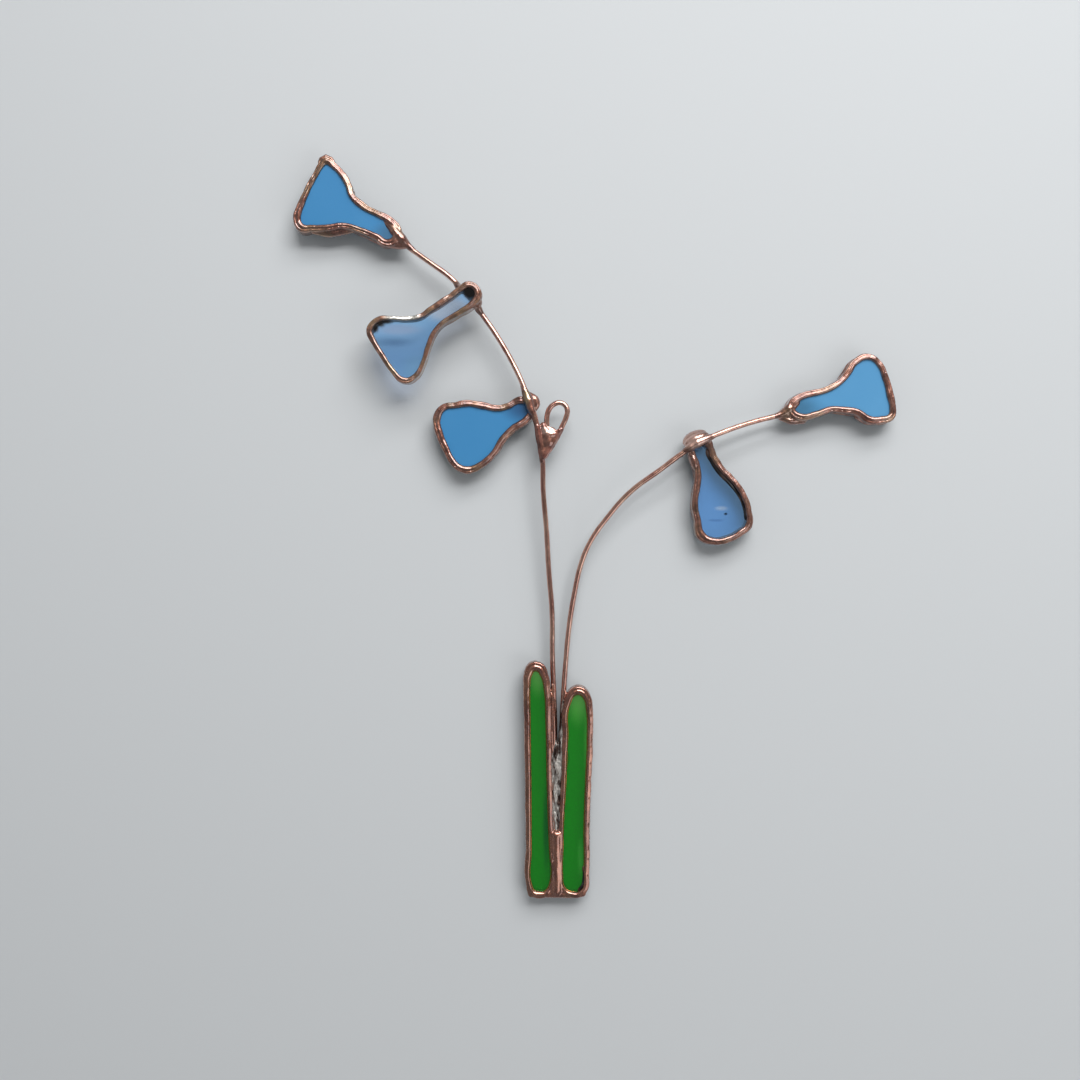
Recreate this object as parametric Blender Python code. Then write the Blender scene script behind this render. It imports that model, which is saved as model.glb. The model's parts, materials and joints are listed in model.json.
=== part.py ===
"""Hanging ornament in copper-foil stained glass: five bluebell flowers and two leaves on wire stems.

Seen from the front, +X is right, +Z is up and -Y faces the viewer, so the wall is on the +Y side. The
origin is the highest point inside the hanging eye, where a nail or a hook bears.
"""

import math
from typing import NamedTuple

import bmesh
import bpy

MM = 0.001

# Stock that the ornament is made of
GLASS_THICKNESS = 3.0 * MM
WIRE_DIAMETER = 1.2 * MM

# The rim: foil folded over the edge of the glass, under a solder bead on each face
EDGE_SOLDER = 0.7 * MM
BEAD_HEIGHT = 0.8 * MM
SLIM_BEAD_HEIGHT = 0.7 * MM
BELL_BEAD_WIDTH = 1.4 * MM
SLIM_BEAD_WIDTH = 1.05 * MM
LEAF_BEAD_WIDTH = 1.5 * MM
# Half of the rim's section, from its inner edge outward: share of the width, share of the half depth
BEAD_SECTION = ((0.0, 0.92), (0.4, 1.0), (1.0, 0.72), (0.92, 0.22))

# Space left between solids that touch or hold each other on the real thing
CLEARANCE = 0.3 * MM

# Depths of the middle of the glass. Bell 2 is soldered on in front of its stem.
GLASS_PLANE = 2.0 * MM
RAISED_PLANE = -2.5 * MM

# Mesh fineness
OUTLINE_STEPS = 2
WIRE_STEPS = 3
WIRE_ROUNDNESS = 2
LUMP_SEGMENTS = 12
LUMP_RINGS = 7

# Outlines of the glass that shows inside each rim, in millimetres: X, Z and the bead's width there
# as a share of its usual width. Each one runs clockwise from the top or from the neck.
BELL_1 = (
    (-58.0, 59.7, 1.2), (-55.6, 58.4, 1.05), (-53.8, 55.3, 1.0), (-52.3, 51.5, 1.0), (-49.5, 48.8, 1.0),
    (-45.7, 46.8, 1.0), (-42.5, 44.9, 1.1), (-41.4, 43.2, 1.2), (-42.3, 41.5, 1.15), (-45.2, 42.7, 1.05),
    (-49.4, 44.4, 1.0), (-53.9, 45.5, 1.0), (-58.1, 45.0, 1.0), (-62.3, 44.7, 1.05), (-64.3, 46.2, 1.15),
    (-64.0, 49.1, 1.1), (-61.9, 53.7, 1.0), (-59.6, 58.3, 1.05),
)
BELL_2 = (
    (-45.9, 18.0, 1.2), (-44.5, 19.7, 1.15), (-41.2, 20.2, 1.0), (-37.8, 20.0, 1.0), (-34.4, 20.5, 1.05),
    (-30.9, 22.6, 1.15), (-27.0, 25.1, 1.2), (-23.8, 27.4, 1.25), (-22.0, 28.2, 1.35), (-21.1, 27.0, 1.5),
    (-22.0, 25.1, 1.4), (-25.5, 22.6, 1.1), (-29.2, 20.2, 1.0), (-31.6, 17.4, 1.0), (-33.0, 14.0, 1.0),
    (-34.2, 10.2, 1.0), (-36.0, 7.2, 1.1), (-38.0, 6.4, 1.25), (-40.5, 8.5, 1.1), (-43.2, 12.5, 1.15),
    (-45.3, 16.1, 1.2),
)
BELL_3 = (
    (-29.5, -3.4, 1.15), (-28.6, -1.5, 1.1), (-25.8, -0.8, 1.0), (-22.3, -0.5, 1.0), (-18.8, -1.1, 1.0),
    (-15.8, -1.6, 1.0), (-12.4, -0.9, 1.0), (-9.6, 0.3, 1.1), (-7.9, -0.9, 1.2), (-9.0, -2.9, 1.1),
    (-12.1, -5.0, 1.0), (-15.0, -8.0, 1.0), (-17.1, -11.4, 1.0), (-20.3, -14.2, 1.0), (-23.2, -15.1, 1.1),
    (-25.4, -14.0, 1.05), (-27.5, -10.4, 1.0), (-29.0, -6.5, 1.1),
)
BELL_4 = (
    (58.5, -0.5, 1.2), (59.9, 1.1, 1.15), (63.2, 2.1, 1.1), (67.0, 3.2, 1.0), (70.2, 5.1, 1.0),
    (72.4, 7.5, 1.0), (74.2, 10.1, 1.05), (76.7, 11.2, 1.1), (78.8, 9.8, 1.0), (80.3, 6.3, 0.98),
    (81.3, 2.3, 0.98), (81.8, -1.2, 1.0), (80.2, -2.5, 1.15), (77.2, -2.5, 1.15), (74.4, -0.9, 1.0),
    (70.9, -0.3, 1.0), (67.2, -0.2, 1.0), (63.5, -1.4, 1.05), (60.0, -1.9, 1.2),
)
BELL_5 = (
    (35.2, -9.6, 1.15), (36.5, -10.8, 1.05), (37.8, -13.7, 1.0), (40.0, -16.7, 1.0), (42.7, -19.4, 1.0),
    (45.0, -22.8, 1.0), (46.1, -26.3, 1.0), (46.1, -29.3, 1.05), (44.3, -31.1, 1.1), (41.4, -32.5, 1.0),
    (38.4, -33.1, 1.0), (36.3, -31.6, 1.05), (35.2, -28.3, 1.0), (34.5, -24.4, 1.0), (35.0, -20.6, 1.0),
    (35.3, -17.6, 1.0), (34.8, -14.2, 1.1), (33.8, -11.6, 1.1), (33.9, -9.9, 1.1),
)
LEAF_LEFT = (
    (-6.0, -66.1, 1.2), (-4.7, -67.5, 1.15), (-3.9, -70.8, 1.05), (-3.5, -78.3, 1.0), (-3.2, -93.2, 1.0),
    (-2.6, -110.6, 1.0), (-2.5, -118.6, 1.0), (-3.7, -120.7, 1.05), (-5.9, -120.8, 1.1), (-6.9, -119.3, 1.0),
    (-7.0, -110.6, 1.0), (-7.1, -93.2, 1.0), (-7.3, -77.0, 1.05), (-7.3, -69.5, 1.05), (-7.0, -67.3, 1.1),
)
LEAF_RIGHT = (
    (4.5, -72.0, 1.15), (5.8, -72.8, 1.1), (6.6, -75.8, 1.1), (6.7, -83.2, 1.15), (6.3, -93.2, 1.1),
    (6.0, -104.6, 1.05), (6.0, -116.1, 1.0), (5.2, -120.5, 1.05), (3.1, -120.9, 1.1), (1.6, -119.8, 1.0),
    (1.3, -116.8, 1.0), (1.8, -104.6, 1.0), (2.4, -94.4, 1.0), (2.6, -80.8, 1.0), (2.9, -74.0, 1.0),
)

# Routes of the wires' middle lines, in millimetres: X, Y, Z
STEM_LEFT = (
    (-39.4, 1.7, 40.9), (-37.1, 1.3, 39.1), (-32.2, 0.7, 35.5), (-27.2, 0.4, 31.8), (-23.2, 0.3, 27.5),
    (-19.5, 0.3, 22.8), (-14.9, 0.1, 16.1), (-10.8, -0.3, 8.7), (-8.4, -0.6, 3.2), (-6.6, -0.7, -1.5),
    (-5.4, -0.5, -6.2), (-4.3, 0.0, -13.2), (-4.1, 0.4, -21.1), (-3.3, 0.9, -31.0), (-2.7, 1.3, -41.4),
    (-1.9, 1.6, -51.4), (-1.8, 1.9, -62.0), (-1.4, 2.0, -73.5), (-1.2, 2.0, -83.5), (-0.9, 2.0, -94.8),
    (-0.6, 2.0, -104.0),
)
STEM_RIGHT = (
    (56.4, 1.5, -2.0), (53.6, 1.0, -2.7), (47.2, 0.3, -4.4), (39.8, -0.4, -7.0), (34.8, -0.7, -9.2),
    (31.1, -0.6, -11.5), (24.9, -0.2, -16.1), (17.4, 0.3, -21.7), (11.4, 0.8, -28.5), (7.9, 1.1, -33.5),
    (5.6, 1.4, -38.7), (3.5, 1.7, -47.9), (2.3, 1.9, -55.8), (1.5, 2.0, -64.6), (0.9, 2.0, -73.5),
    (0.5, 2.0, -83.5), (0.4, 2.0, -89.5),
)
HANG_LOOP = (
    (-3.1, 0.0, -7.7), (-3.2, 0.0, -4.7), (-3.1, 0.0, -2.5), (-2.4, 0.0, -0.7), (-1.2, 0.0, 0.3),
    (0.0, 0.0, 0.6), (1.3, 0.0, 0.0), (1.9, 0.0, -1.3), (1.6, 0.0, -3.0), (0.8, 0.0, -4.9),
    (-0.4, 0.0, -7.3), (-1.9, 0.0, -9.9), (-2.9, 0.0, -11.6),
)

# Flat outlines of solder, in millimetres: X and Z
LOOP_SOLDER = (
    (-5.6, -5.5), (-4.4, -5.6), (-3.2, -4.9), (-2.1, -5.9), (-0.9, -6.5), (0.3, -6.1),
    (-0.4, -8.2), (-1.9, -10.7), (-3.2, -12.7), (-4.0, -13.2), (-5.0, -11.2), (-5.5, -8.7),
)
LOOP_SOLDER_PLANE = -0.3 * MM
LOOP_SOLDER_DEPTH = 3.2 * MM
LOOP_SOLDER_ROUNDING = 0.6 * MM
LEAF_SEAM = (
    (-2.4, -85.0), (-0.3, -86.2), (1.8, -85.0), (1.5, -95.0), (0.8, -108.0), (0.6, -121.6),
    (-1.7, -121.6), (-1.8, -108.0), (-2.2, -95.0),
)
LEAF_SEAM_DEPTH = 2.6 * MM
# Ridge of solder that stands up over the lower seam: top and foot of its middle line
SEAM_RIDGE = ((-0.6, -106.6), (-0.55, -121.0))
SEAM_RIDGE_DIAMETER = 2.2 * MM
SEAM_RIDGE_RISE = 1.2 * MM


class Lump(NamedTuple):
    """A rounded solder joint: middle and half sizes along X, Y and Z in mm, and its turn about Y in degrees."""

    middle: tuple
    half_sizes: tuple
    turn: float


NECK_LUMPS = {
    1: (Lump((-39.8, 2.0, 41.6), (2.5, 2.0, 1.9), 40),),
    2: (Lump((-20.6, -0.8, 25.2), (1.5, 1.7, 1.7), 20), Lump((-24.6, -0.8, 28.6), (1.3, 1.5, 1.0), 35)),
    3: (Lump((-7.3, 0.6, 0.3), (2.3, 2.3, 2.4), 20),),
    4: (Lump((56.6, 1.8, -1.9), (2.8, 2.0, 1.7), -12), Lump((58.8, 2.0, -3.1), (2.2, 1.8, 1.0), 5)),
    5: (Lump((33.8, 1.2, -8.3), (3.6, 2.6, 2.2), -25), Lump((33.3, 1.2, -13.9), (1.2, 1.6, 2.6), -15)),
}

# Colours (red, green, blue, linear), roughness and metallic value
OPAL_BLUE = ((0.055, 0.250, 0.500), 0.15, 0.0)
CLEAR_BLUE = ((0.130, 0.300, 0.600), 0.05, 0.0)
LEAF_GREEN = ((0.012, 0.170, 0.017), 0.10, 0.0)
COPPER = ((0.380, 0.140, 0.090), 0.30, 1.0)
CLEAR_ALPHA = 0.6
LEAF_ALPHA = 0.85


class Bell(NamedTuple):
    """One flower: its glass outline, the depth of its middle plane, its bead and what its glass looks like."""

    outline: tuple
    plane: float
    bead_width: float
    bead_height: float
    finish: tuple
    alpha: float


BELLS = {
    1: Bell(BELL_1, GLASS_PLANE, BELL_BEAD_WIDTH, BEAD_HEIGHT, OPAL_BLUE, 1.0),
    2: Bell(BELL_2, RAISED_PLANE, SLIM_BEAD_WIDTH, SLIM_BEAD_HEIGHT, CLEAR_BLUE, CLEAR_ALPHA),
    3: Bell(BELL_3, GLASS_PLANE, BELL_BEAD_WIDTH, BEAD_HEIGHT, OPAL_BLUE, 1.0),
    4: Bell(BELL_4, GLASS_PLANE, BELL_BEAD_WIDTH, BEAD_HEIGHT, OPAL_BLUE, 1.0),
    5: Bell(BELL_5, GLASS_PLANE, BELL_BEAD_WIDTH, BEAD_HEIGHT, CLEAR_BLUE, CLEAR_ALPHA),
}
STEM_OF_BELL = {1: "stem_left", 2: "stem_left", 3: "stem_left", 4: "stem_right", 5: "stem_right"}


def clear_scene():
    """Remove every object, so that the model starts from nothing."""
    for thing in list(bpy.data.objects):
        bpy.data.objects.remove(thing, do_unlink=True)


def new_collection(name):
    """Add a collection to the scene."""
    collection = bpy.data.collections.new(name)
    bpy.context.scene.collection.children.link(collection)
    return collection


def make_material(name, finish, alpha=1.0):
    """Make a Principled material from a colour, roughness and metallic value."""
    colour, roughness, metallic = finish
    material = bpy.data.materials.new(name)
    material.use_nodes = True
    shader = material.node_tree.nodes["Principled BSDF"]
    shader.inputs["Base Color"].default_value = (*colour, 1.0)
    shader.inputs["Roughness"].default_value = roughness
    shader.inputs["Metallic"].default_value = metallic
    shader.inputs["Alpha"].default_value = alpha
    return material


def mesh_from(source, name, collection):
    """Turn a curve object into a welded mesh object whose faces point out, and remove the curve."""
    graph = bpy.context.evaluated_depsgraph_get()
    mesh = bpy.data.meshes.new_from_object(source.evaluated_get(graph))
    mesh.name = name
    shape = bmesh.new()
    shape.from_mesh(mesh)
    bmesh.ops.remove_doubles(shape, verts=shape.verts, dist=0.001 * MM)
    bmesh.ops.recalc_face_normals(shape, faces=shape.faces)
    shape.to_mesh(mesh)
    shape.free()
    place = source.matrix_world.copy()
    bpy.data.objects.remove(source, do_unlink=True)
    result = bpy.data.objects.new(name, mesh)
    result.matrix_world = place
    collection.objects.link(result)
    return result


def hide_as_cutter(thing):
    """Show a cutter as a wire frame and keep it out of renders."""
    thing.hide_render = True
    thing.display_type = "WIRE"


def flat_curve(name, points, plane, collection, smooth=True):
    """Make a closed curve in the XZ plane at a depth, through points of X, Z and an optional radius."""
    data = bpy.data.curves.new(name, "CURVE")
    data.dimensions = "2D"
    data.fill_mode = "BOTH"
    data.resolution_u = OUTLINE_STEPS
    spline = data.splines.new("BEZIER")
    spline.bezier_points.add(len(points) - 1)
    for knot, point in zip(spline.bezier_points, points):
        knot.co = (point[0] * MM, point[1] * MM, 0.0)
        knot.handle_left_type = "AUTO" if smooth else "VECTOR"
        knot.handle_right_type = "AUTO" if smooth else "VECTOR"
        if len(point) > 2:
            knot.radius = point[2]
    spline.use_cyclic_u = True
    curve = bpy.data.objects.new(name, data)
    curve.location = (0.0, plane, 0.0)
    curve.rotation_euler = (math.pi / 2, 0.0, 0.0)
    collection.objects.link(curve)
    bpy.context.view_layer.update()
    return curve


def glass_plate(name, outline, plane, bead_width, spare, collection):
    """Make the flat glass that reaches under the rim, larger all round by the spare."""
    flat = [(x, z) for x, z, _ in outline]
    curve = flat_curve(name, flat, plane, collection)
    curve.data.extrude = GLASS_THICKNESS / 2 + spare
    curve.data.offset = bead_width - EDGE_SOLDER + spare
    return mesh_from(curve, name, collection)


def bead_section(name, width, height, collection):
    """Make the closed section of a rim, in its own XY plane: -X is the outer side of a clockwise outline."""
    half_depth = GLASS_THICKNESS / 2 + height
    front = [(-across * width, deep * half_depth) for across, deep in BEAD_SECTION]
    back = [(across, -deep) for across, deep in reversed(front)]
    data = bpy.data.curves.new(name, "CURVE")
    data.dimensions = "2D"
    spline = data.splines.new("POLY")
    spline.points.add(len(front) + len(back) - 1)
    for knot, (across, deep) in zip(spline.points, front + back):
        knot.co = (across, deep, 0.0, 1.0)
    spline.use_cyclic_u = True
    section = bpy.data.objects.new(name, data)
    collection.objects.link(section)
    return section


def bead_ring(name, outline, plane, width, height, collection):
    """Sweep the rim's section round an outline."""
    section = bead_section(name + "_section", width, height, collection)
    curve = flat_curve(name, outline, plane, collection)
    curve.data.bevel_mode = "OBJECT"
    curve.data.bevel_object = section
    ring = mesh_from(curve, name, collection)
    bpy.data.objects.remove(section, do_unlink=True)
    return ring


def solder_lump(name, lump, collection):
    """Make a rounded solder joint, turned about Y."""
    shape = bmesh.new()
    bmesh.ops.create_uvsphere(shape, u_segments=LUMP_SEGMENTS, v_segments=LUMP_RINGS, radius=1.0)
    mesh = bpy.data.meshes.new(name)
    shape.to_mesh(mesh)
    shape.free()
    result = bpy.data.objects.new(name, mesh)
    result.location = [value * MM for value in lump.middle]
    result.scale = [value * MM for value in lump.half_sizes]
    result.rotation_euler = (0.0, math.radians(lump.turn), 0.0)
    collection.objects.link(result)
    bpy.context.view_layer.update()
    hide_as_cutter(result)
    return result


def wire(name, route, diameter, collection):
    """Make a round wire along a route given in millimetres."""
    data = bpy.data.curves.new(name, "CURVE")
    data.dimensions = "3D"
    data.bevel_depth = diameter / 2
    data.bevel_resolution = WIRE_ROUNDNESS
    data.use_fill_caps = True
    data.resolution_u = WIRE_STEPS
    spline = data.splines.new("BEZIER")
    spline.bezier_points.add(len(route) - 1)
    for knot, point in zip(spline.bezier_points, route):
        knot.co = [value * MM for value in point]
        knot.handle_left_type = "AUTO"
        knot.handle_right_type = "AUTO"
    result = bpy.data.objects.new(name, data)
    collection.objects.link(result)
    bpy.context.view_layer.update()
    return result


def lengthen(route, extra):
    """Push both ends of a route outward, in millimetres."""
    ends = []
    for end, inner in ((route[0], route[1]), (route[-1], route[-2])):
        step = [a - b for a, b in zip(end, inner)]
        size = math.hypot(*step)
        ends.append(tuple(a + extra * s / size for a, s in zip(end, step)))
    return (ends[0], *route[1:-1], ends[1])


def wire_channel(name, route, cutters):
    """Make the space that a wire needs where it runs through solder."""
    roomy = wire(name, lengthen(route, CLEARANCE / MM), WIRE_DIAMETER + 2 * CLEARANCE, cutters)
    channel = mesh_from(roomy, name, cutters)
    hide_as_cutter(channel)
    return channel


def combine(target, operation, other):
    """Add a Boolean modifier to an object."""
    step = target.modifiers.new(f"{operation.lower()} {other.name}", "BOOLEAN")
    step.operation = operation
    step.solver = "EXACT"
    step.object = other


def dress(thing, material):
    """Give an object its material and smooth shading on its round faces."""
    thing.data.materials.clear()
    thing.data.materials.append(material)
    if thing.type == "MESH":
        thing.data.shade_smooth()
        thing.data.set_sharp_from_angle(angle=math.radians(40))


def build_bell(number, channels, copper, parts, cutters):
    """Make one flower: the glass, and the rim with its solder joints round the stem."""
    bell = BELLS[number]
    glass_name = f"glass_bell_{number}"
    glass = glass_plate(glass_name, bell.outline, bell.plane, bell.bead_width, 0.0, parts)
    dress(glass, make_material(glass_name, bell.finish, bell.alpha))

    rim = bead_ring(f"rim_bell_{number}", bell.outline, bell.plane, bell.bead_width, bell.bead_height, parts)
    for index, lump in enumerate(NECK_LUMPS[number], 1):
        combine(rim, "UNION", solder_lump(f"lump_{number}_{index}", lump, cutters))
    slot = glass_plate(f"slot_bell_{number}", bell.outline, bell.plane, bell.bead_width, CLEARANCE, cutters)
    hide_as_cutter(slot)
    combine(rim, "DIFFERENCE", slot)
    combine(rim, "DIFFERENCE", channels[STEM_OF_BELL[number]])
    dress(rim, copper)


def build_leaves(channels, copper, parts, cutters):
    """Make both leaves' glass, and the frame of foil and solder that joins them round the stems."""
    frame = bead_ring("leaf_frame", LEAF_LEFT, GLASS_PLANE, LEAF_BEAD_WIDTH, BEAD_HEIGHT, parts)
    right = bead_ring("ring_leaf_right", LEAF_RIGHT, GLASS_PLANE, LEAF_BEAD_WIDTH, BEAD_HEIGHT, cutters)
    hide_as_cutter(right)
    combine(frame, "UNION", right)

    seam_curve = flat_curve("leaf_seam", LEAF_SEAM, GLASS_PLANE, cutters, smooth=False)
    seam_curve.data.extrude = LEAF_SEAM_DEPTH / 2
    seam = mesh_from(seam_curve, "leaf_seam", cutters)
    hide_as_cutter(seam)
    combine(frame, "UNION", seam)

    for side, name in ((-1, "ridge_front"), (1, "ridge_back")):
        depth = GLASS_PLANE / MM + side * SEAM_RIDGE_RISE / MM
        route = [(x, depth, z) for x, z in SEAM_RIDGE]
        ridge = mesh_from(wire(name, route, SEAM_RIDGE_DIAMETER, cutters), name, cutters)
        hide_as_cutter(ridge)
        combine(frame, "UNION", ridge)

    for side, outline in (("left", LEAF_LEFT), ("right", LEAF_RIGHT)):
        glass = glass_plate(f"glass_leaf_{side}", outline, GLASS_PLANE, LEAF_BEAD_WIDTH, 0.0, parts)
        dress(glass, make_material(glass.name, LEAF_GREEN, LEAF_ALPHA))
        slot = glass_plate(f"slot_leaf_{side}", outline, GLASS_PLANE, LEAF_BEAD_WIDTH, CLEARANCE, cutters)
        hide_as_cutter(slot)
        combine(frame, "DIFFERENCE", slot)
    combine(frame, "DIFFERENCE", channels["stem_left"])
    combine(frame, "DIFFERENCE", channels["stem_right"])
    dress(frame, copper)


def build_loop_solder(channels, copper, parts):
    """Make the web of solder that holds the eye to the left stem."""
    curve = flat_curve("loop_solder", LOOP_SOLDER, LOOP_SOLDER_PLANE, parts)
    curve.data.extrude = LOOP_SOLDER_DEPTH / 2 - LOOP_SOLDER_ROUNDING
    curve.data.bevel_depth = LOOP_SOLDER_ROUNDING
    curve.data.bevel_resolution = 1
    curve.data.offset = -LOOP_SOLDER_ROUNDING
    web = mesh_from(curve, "loop_solder", parts)
    combine(web, "DIFFERENCE", channels["stem_left"])
    combine(web, "DIFFERENCE", channels["hang_loop"])
    dress(web, copper)


def build():
    """Make the whole ornament."""
    clear_scene()
    parts = new_collection("bluebell_hanger")
    cutters = new_collection("cutters")

    channels = {}
    for name, route in (("stem_left", STEM_LEFT), ("stem_right", STEM_RIGHT), ("hang_loop", HANG_LOOP)):
        strand = wire(name, route, WIRE_DIAMETER, parts)
        dress(strand, make_material(name, COPPER))
        channels[name] = wire_channel(f"channel_{name}", route, cutters)

    for number in BELLS:
        build_bell(number, channels, make_material(f"rim_bell_{number}", COPPER), parts, cutters)
    build_leaves(channels, make_material("leaf_frame", COPPER), parts, cutters)
    build_loop_solder(channels, make_material("loop_solder", COPPER), parts)


build()
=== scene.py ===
"""Looks of a hanging ornament in copper-foil stained glass: bluebells and two leaves on wire stems.

The frame's axes hold here too: +X right as seen from the front, +Z up, -Y towards the viewer. The origin is
the highest point inside the hanging eye. Tables and sizes are in millimetres, and finished meshes in metres.

The glass keeps the frame's own solids, apart from two panes. Solder, wires and the foil's lining are worked
here: beads and joints are swept in millimetres, melted into one skin, given the ripples of hand-run solder,
and scaled down.
"""

from __future__ import annotations

import json
import logging
import math
import random
from collections.abc import Iterable
from dataclasses import dataclass
from enum import Enum

import bmesh
import bpy
from mathutils import Matrix, Vector

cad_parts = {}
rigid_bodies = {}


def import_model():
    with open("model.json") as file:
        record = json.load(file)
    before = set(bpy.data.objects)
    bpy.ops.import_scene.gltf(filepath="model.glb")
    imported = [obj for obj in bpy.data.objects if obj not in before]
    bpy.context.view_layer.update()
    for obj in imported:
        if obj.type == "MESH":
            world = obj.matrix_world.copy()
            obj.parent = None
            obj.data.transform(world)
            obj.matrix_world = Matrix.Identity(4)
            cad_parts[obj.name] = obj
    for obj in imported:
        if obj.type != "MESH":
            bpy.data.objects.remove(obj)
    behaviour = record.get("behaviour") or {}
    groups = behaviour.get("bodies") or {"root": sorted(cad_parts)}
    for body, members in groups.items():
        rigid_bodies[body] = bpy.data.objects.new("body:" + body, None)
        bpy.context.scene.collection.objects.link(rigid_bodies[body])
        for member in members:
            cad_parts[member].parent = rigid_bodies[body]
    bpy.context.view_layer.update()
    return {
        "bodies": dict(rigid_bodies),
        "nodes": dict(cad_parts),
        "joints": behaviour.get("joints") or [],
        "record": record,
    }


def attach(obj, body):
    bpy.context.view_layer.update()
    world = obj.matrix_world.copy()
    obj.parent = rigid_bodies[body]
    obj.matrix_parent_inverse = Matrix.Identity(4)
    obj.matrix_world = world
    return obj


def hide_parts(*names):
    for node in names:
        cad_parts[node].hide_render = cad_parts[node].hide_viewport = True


LOG = logging.getLogger("bluebell_hanger")
BODY = "root"
MM = 0.001

# Stock and rims, as in the frame
GLASS_THICKNESS = 3.0
FACE = GLASS_THICKNESS / 2
EDGE_SOLDER = 0.7
GLASS_PLANE = 2.0
RAISED_PLANE = -2.5

# Steps of a sweep round an outline, and how close two points count as one
SWEEP_STEP = 0.35
SAME_POINT = 0.001

# Added to a seed for the bead on the back, and for a bead's rise
BACK_SEED = 3.1
RISE_SEED = 7.3

# Sockets of a Mix node that mixes colours
UNDER, OVER, MIXED = 6, 7, 2

Point2 = tuple[float, float]
Point3 = tuple[float, float, float]
Point4 = tuple[float, float, float, float]
OutlinePoint = tuple[float, float, float]

# Outlines of the glass that shows inside each rim: X, Z and the bead's width there as a share of its usual
# width. Each one runs clockwise from the top or from the neck.
BELL_1: tuple[OutlinePoint, ...] = (
    (-58.7, 59.0, 1.0), (-58.0, 59.7, 1.6), (-57.1, 59.1, 1.1), (-55.5, 57.7, 1.0), (-53.8, 55.3, 1.0),
    (-52.3, 51.5, 1.0), (-49.5, 48.8, 1.0), (-45.7, 46.8, 1.0), (-42.5, 44.9, 1.1), (-41.4, 43.2, 1.2),
    (-42.3, 41.5, 1.15), (-45.2, 42.7, 1.05), (-49.4, 44.4, 1.0), (-53.9, 45.5, 1.0), (-58.1, 45.0, 1.0),
    (-61.9, 45.0, 1.1), (-63.7, 45.2, 1.45), (-64.2, 46.4, 1.35), (-63.7, 48.8, 1.1), (-61.7, 53.7, 1.0),
    (-59.6, 57.6, 0.95),
)
BELL_2: tuple[OutlinePoint, ...] = (
    (-45.9, 18.0, 1.2), (-44.5, 19.7, 1.15), (-41.2, 20.2, 1.0), (-37.8, 20.0, 1.0), (-34.4, 20.5, 1.05),
    (-30.9, 22.6, 1.15), (-27.0, 25.1, 1.2), (-23.8, 27.4, 1.25), (-22.0, 28.2, 1.35), (-21.1, 27.0, 1.5),
    (-22.0, 25.1, 1.4), (-25.5, 22.6, 1.1), (-29.2, 20.2, 1.0), (-31.6, 17.4, 1.0), (-33.0, 14.0, 1.0),
    (-34.2, 10.2, 1.0), (-36.0, 7.2, 1.1), (-38.0, 6.4, 1.25), (-40.5, 8.5, 1.1), (-43.2, 12.5, 1.15),
    (-45.3, 16.1, 1.2),
)
BELL_3: tuple[OutlinePoint, ...] = (
    (-29.5, -3.4, 1.15), (-28.6, -1.5, 1.1), (-25.8, -0.8, 1.0), (-22.3, -0.5, 1.0), (-18.8, -1.1, 1.0),
    (-15.8, -1.6, 1.0), (-12.4, -0.9, 1.0), (-9.6, 0.3, 1.1), (-7.9, -0.9, 1.2), (-9.0, -2.9, 1.1),
    (-12.1, -5.0, 1.0), (-15.0, -8.0, 1.0), (-17.1, -11.4, 1.0), (-20.3, -14.2, 1.0), (-23.2, -15.1, 1.1),
    (-25.4, -14.0, 1.05), (-27.5, -10.4, 1.0), (-29.0, -6.5, 1.1),
)
BELL_4: tuple[OutlinePoint, ...] = (
    (58.5, -0.5, 1.2), (59.9, 1.1, 1.15), (63.2, 2.1, 1.1), (67.0, 3.2, 1.0), (70.2, 5.1, 1.0),
    (72.4, 7.5, 1.0), (74.2, 10.1, 1.05), (76.7, 11.2, 1.1), (78.8, 9.8, 1.0), (80.3, 6.3, 0.98),
    (81.3, 2.3, 0.98), (81.9, -0.8, 0.95), (81.7, -2.2, 1.1), (80.3, -2.6, 1.15), (77.2, -2.5, 1.2),
    (74.4, -0.9, 1.0), (70.9, -0.3, 1.0), (67.2, -0.2, 1.0), (63.5, -1.4, 1.05), (60.0, -1.9, 1.2),
)
BELL_5: tuple[OutlinePoint, ...] = (
    (35.2, -9.6, 1.15), (36.5, -10.8, 1.05), (37.8, -13.7, 1.0), (40.0, -16.7, 1.0), (42.7, -19.4, 1.0),
    (45.0, -22.8, 1.0), (46.1, -26.3, 1.0), (46.1, -29.5, 1.2), (44.6, -30.9, 1.05), (41.4, -32.5, 1.0),
    (38.4, -32.9, 1.05), (36.1, -31.6, 1.4), (35.2, -28.3, 1.0), (34.5, -24.4, 1.0), (35.0, -20.6, 1.0),
    (35.3, -17.6, 1.0), (34.8, -14.2, 1.1), (33.8, -11.6, 1.1), (33.9, -9.9, 1.1),
)
LEAF_LEFT: tuple[OutlinePoint, ...] = (
    (-6.0, -66.1, 1.65), (-4.7, -67.5, 1.3), (-3.9, -70.8, 1.05), (-3.5, -78.3, 0.9), (-3.2, -93.2, 0.85),
    (-2.8, -105.5, 0.8), (-2.6, -110.6, 0.66), (-2.5, -118.6, 0.7), (-3.7, -120.7, 1.0), (-5.9, -120.8, 1.05),
    (-6.9, -119.3, 0.95), (-7.0, -110.6, 1.0), (-7.1, -93.2, 1.05), (-7.3, -77.0, 1.1), (-7.3, -69.5, 1.15),
    (-7.0, -67.3, 1.35),
)
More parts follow.
